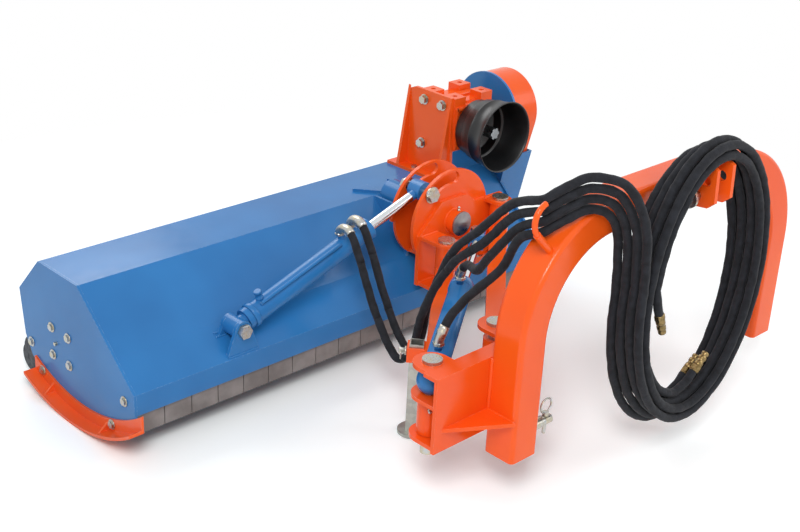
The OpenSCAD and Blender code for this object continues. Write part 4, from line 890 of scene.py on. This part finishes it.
screws = []
for turn in QUILL_TURNS:
    a = math.radians(turn)
    seat = (QUILL_FACE[0], QUILL_FACE[1] + QUILL_R * math.cos(a), QUILL_FACE[2] + QUILL_R * math.sin(a))
    screws += [(seat, TO_RIGHT, SCREW_WASHER, SCREW_SIDES), (seat, TO_RIGHT, SCREW_HEAD, HEX)]
hardware("quill_screws", "deck", screws)
flange_bolts = [(ROTOR_AXIS[0] + y, ROTOR_AXIS[1] + z) for y in (-FLANGE_OFF, FLANGE_OFF)
                for z in (-FLANGE_OFF, FLANGE_OFF)]
seats = [(0, *bolt) for bolt in flange_bolts + PLATE_BOLTS] + [(SKID_FACE, *bolt) for bolt in SKID_BOLTS]
hardware("end_plate_washers", "deck", [(seat, TO_LEFT, WASHER, WASHER_SIDES) for seat in seats])
for name, body, seat, way in NIPPLES:
    hardware(name, body, [(seat, way, NIPPLE, NIPPLE_SIDES)])

# %% [markdown]
# The gearbox is cast iron, and a casting has ribs, a lid pad and rounded edges that a plain box lacks. Each
# rib is a block whose edges are bevelled in the mesh, so it also reads as cast from behind.

# %% Ribs of the gearbox
GEAR_LOW, GEAR_HIGH = (1272, 192, 471), (1435, 332, 611)
RIB, PROUD, INTO = 12, 9, 4
LID_PAD = ((1312, 206, GEAR_HIGH[2] - INTO), (1395, 318, 617))
LID_RIDGE = ((1278, 246, GEAR_HIGH[2] - INTO), (1429, 278, 622))
POSTS_X, POST_Z = (GEAR_LOW[0] + 2, GEAR_HIGH[0] - RIB - 2), (GEAR_LOW[2] + 4, GEAR_HIGH[2] - 2)
RAILS_Z, RAIL_X = (GEAR_LOW[2] + 6, GEAR_HIGH[2] - RIB - 2), (GEAR_LOW[0] + 4, GEAR_HIGH[0] - 4)
FACES_Y = (GEAR_LOW[1] - PROUD, GEAR_HIGH[1] - INTO)
CAST_ROUND = 2.5 * MM


def block(bm, low, high):
    a, b = place(low), place(high)
    size = Matrix.Diagonal((b - a).to_4d())
    made = bmesh.ops.create_cube(bm, size=1, matrix=Matrix.Translation((a + b) / 2) @ size)
    edges = list({edge for vert in made["verts"] for edge in vert.link_edges})
    bmesh.ops.bevel(bm, geom=edges, offset=CAST_ROUND, segments=2, affect="EDGES")


bm = bmesh.new()
for x in POSTS_X:
    for y in FACES_Y:
        block(bm, (x, y, POST_Z[0]), (x + RIB, y + PROUD + INTO, POST_Z[1]))
for z in RAILS_Z:
    for y in FACES_Y:
        block(bm, (RAIL_X[0], y, z), (RAIL_X[1], y + PROUD + INTO, z + RIB))
block(bm, *LID_PAD)
block(bm, *LID_RIDGE)
ribs = from_bmesh("gearbox_ribs", bm)
settle(ribs, "deck", "orange_paint")
print("gearbox ribs:", len(ribs.data.polygons), "faces")

# %% [markdown]
# The guard round the splined shaft is moulded plastic: a stepped neck, a cone that opens towards the driver,
# a bead half way and a rolled lip. It is a thin shell, so one closed outline is turned round the shaft.

# %% Guard of the drive shaft
GUARD_BASE, GUARD_WAY = (1350, 178, 541), (0, -1, 0)
GUARD_WALL, GUARD_SIDES = 3, 96
GUARD_OUTSIDE = [(31, 0), (80, 0), (84, 1.5), (85, 5), (86, 31), (87, 33), (92.5, 34.5), (94, 37), (97.5, 66),
                 (99.6, 67.2), (100.2, 69), (99.9, 70.8), (98.4, 72), (106, 122), (108.6, 124),
                 (109.2, 126.5), (107.8, 128)]
GUARD_INSIDE = [(105.4, 126.5), (103, 122), (95.5, 72), (94.6, 66), (91, 38), (90, 36.6), (84, 35), (83, 32),
                (82, 6), (80, GUARD_WALL), (31, GUARD_WALL)]
bm = bmesh.new()
turn_loop(bm, GUARD_OUTSIDE + GUARD_INSIDE, GUARD_SIDES, along(place(GUARD_BASE), GUARD_WAY))
settle(from_bmesh("shaft_guard", bm), "deck", "black_plastic", "pto_guard")
print("guard mouth:", 2 * max(r for r, h in GUARD_OUTSIDE), "mm across")

# %% [markdown]
# The parking leg is held by a plain pin with a shoulder, and a split ring through its end to pull it by. The
# pin is spun, and the ring is a wire swept round a circle that stays open at the split.

# %% Pin of the parking leg
LEG_AT = Vector((615.15, -347.85, 236))
PIN_WAY = Vector((-math.sin(math.radians(ARM_ANGLE)), math.cos(math.radians(ARM_ANGLE)), 0))
PIN_PROFILE = [(6.2, 18.4), (6.9, 19.2), (6.9, 25), (11, 25.4), (11.6, 26), (11.6, 29.4), (11, 30),
               (7.4, 30.4), (7.4, 44), (6.4, 45.4)]
RING_R, RING_REACH, RING_DROP, RING_TURNS = 13, 40, 10, range(0, 356, 5)
WIRE_R, WIRE_SIDES = 1.7 * MM, 10
ring_at = LEG_AT + PIN_WAY * RING_REACH - UP * RING_DROP
ring_side = PIN_WAY.cross(UP)
ring_path = [place(ring_at + ring_side * (RING_R * math.sin(a)) - UP * (RING_R * math.cos(a)))
             for a in (math.radians(turn) for turn in RING_TURNS)]
bm = bmesh.new()
spin(bm, PIN_PROFILE, FINE, along(place(LEG_AT), PIN_WAY))
take(bm, sweep("pin_ring", ring_path, WIRE_R, WIRE_SIDES))
settle(from_bmesh("leg_pin", bm), "outer_arm_body", "zinc", "stand_lock_pin")
print("pin ring:", 2 * RING_R, "mm across")

# %% [markdown]
# A studio floor is one wide plane. It lies half a millimetre low, so that no foot of the machine shares its
# surface.

# %% Floor
FLOOR_HALF, FLOOR_DROP = 30, 0.5 * MM
bm = bmesh.new()
bmesh.ops.create_grid(bm, x_segments=1, y_segments=1, size=FLOOR_HALF)
floor = from_bmesh("floor", bm)
floor.location.z = -FLOOR_DROP
print("floor:", 2 * FLOOR_HALF, "m wide")

# %% [markdown]
# Its paper has to look white and still hold a shadow. A ray that comes from the camera, or by way of a mirror
# or glass, sees the paper a little brighter than white near the machine, and a plain white further out. All
# other rays see ordinary paper, so the floor throws no more light on the machine than paper would.

# %% Paper
SHADOW_REACH = (1.3, 2.4)
PAPER_CLOUD = 900 * MM
SHOWN_PAPER = (1.09, 1.135, 1.14, 1)
WHITE = linear("#FFFFFF")


def seen_directly(owner):
    ray = add(owner, "ShaderNodeLightPath").outputs
    direct = add(owner, "ShaderNodeMath", {0: ray["Is Camera Ray"], 1: ray["Is Glossy Ray"]},
                 operation="ADD").outputs[0]
    return add(owner, "ShaderNodeMath", {0: direct, 1: ray["Is Transmission Ray"]}, operation="ADD",
               use_clamp=True).outputs[0]


paper = blank("matt_white_paper")
where = add(paper, "ShaderNodeTexCoord").outputs["Object"]
cloud = add(paper, "ShaderNodeTexNoise",
            {"Vector": where, "Scale": 1 / PAPER_CLOUD, "Detail": 2}).outputs["Fac"]
tone = add(paper, "ShaderNodeMix", {0: cloud, 6: linear("#F0F0F0"), 7: linear("#F4F4F4")},
           data_type="RGBA").outputs[2]
seen = seen_directly(paper)
shown = add(paper, "ShaderNodeMix", {0: seen, 6: tone, 7: SHOWN_PAPER}, data_type="RGBA").outputs[2]
skin = add(paper, "ShaderNodeBsdfPrincipled",
           {"Base Color": shown, "Roughness": 0.9, "Specular IOR Level": 0})
reach = add(paper, "ShaderNodeVectorMath", {0: where}, operation="LENGTH").outputs["Value"]
far = add(paper, "ShaderNodeMapRange",
          {"Value": reach, "From Min": SHADOW_REACH[0], "From Max": SHADOW_REACH[1]}).outputs["Result"]
fade = add(paper, "ShaderNodeMath", {0: seen, 1: far}, operation="MULTIPLY").outputs[0]
backdrop = add(paper, "ShaderNodeEmission", {"Color": WHITE, "Strength": 1.0}).outputs["Emission"]
sheet = add(paper, "ShaderNodeMixShader", {0: fade, 1: skin.outputs["BSDF"], 2: backdrop}).outputs["Shader"]
add(paper, "ShaderNodeOutputMaterial", {"Surface": sheet})
dress(floor, paper)
print("the shadow fades from", SHADOW_REACH[0], "to", SHADOW_REACH[1], "m out")

# %% [markdown]
# The world is a white room. It is shown at full white and lights the machine at about half of that, which
# leaves the shading to the lamps.

# %% World
ROOM_LIGHT, ROOM_SHOWN = 0.55, 1.0
world = bpy.data.worlds.new("studio")
world.use_nodes = True
world.node_tree.nodes.clear()
bpy.context.scene.world = world
strength = add(world, "ShaderNodeMapRange",
               {"Value": seen_directly(world), "To Min": ROOM_LIGHT, "To Max": ROOM_SHOWN}).outputs["Result"]
surround = add(world, "ShaderNodeBackground", {"Color": WHITE, "Strength": strength})
add(world, "ShaderNodeOutputWorld", {"Surface": surround.outputs["Background"]})
bpy.context.scene.view_settings.view_transform = "Standard"
print("the room lights at", ROOM_LIGHT, "and shows at", ROOM_SHOWN)

# %% [markdown]
# Four square lamps: a key from the camera's side, a small one beside it for sharp glints, a wide fill from
# the right and one behind. Each is a name, its place and its target in metres, its width in metres and its
# watts.

# %% Lamps
LAMPS = [("key", (-2.6, -2.2, 3.6), (0, 0, 0.3), 1.6, 95),
         ("glint", (-2.5, -2.7, 2.9), (0, -0.2, 0.4), 0.5, 14),
         ("fill", (2.8, -2.6, 2.4), (0, -0.2, 0.3), 2.6, 50),
         ("rear", (0.5, 3.4, 3.2), (0, 0, 0.3), 2.4, 60)]
for name, at, target, size, power in LAMPS:
    data = bpy.data.lights.new(name, "AREA")
    data.size = size
    data.energy = power
    obj = bpy.data.objects.new(name, data)
    obj.location = at
    obj.rotation_euler = (Vector(target) - Vector(at)).to_track_quat("-Z", "Y").to_euler()
    bpy.context.collection.objects.link(obj)
print("lamps:", len(LAMPS))
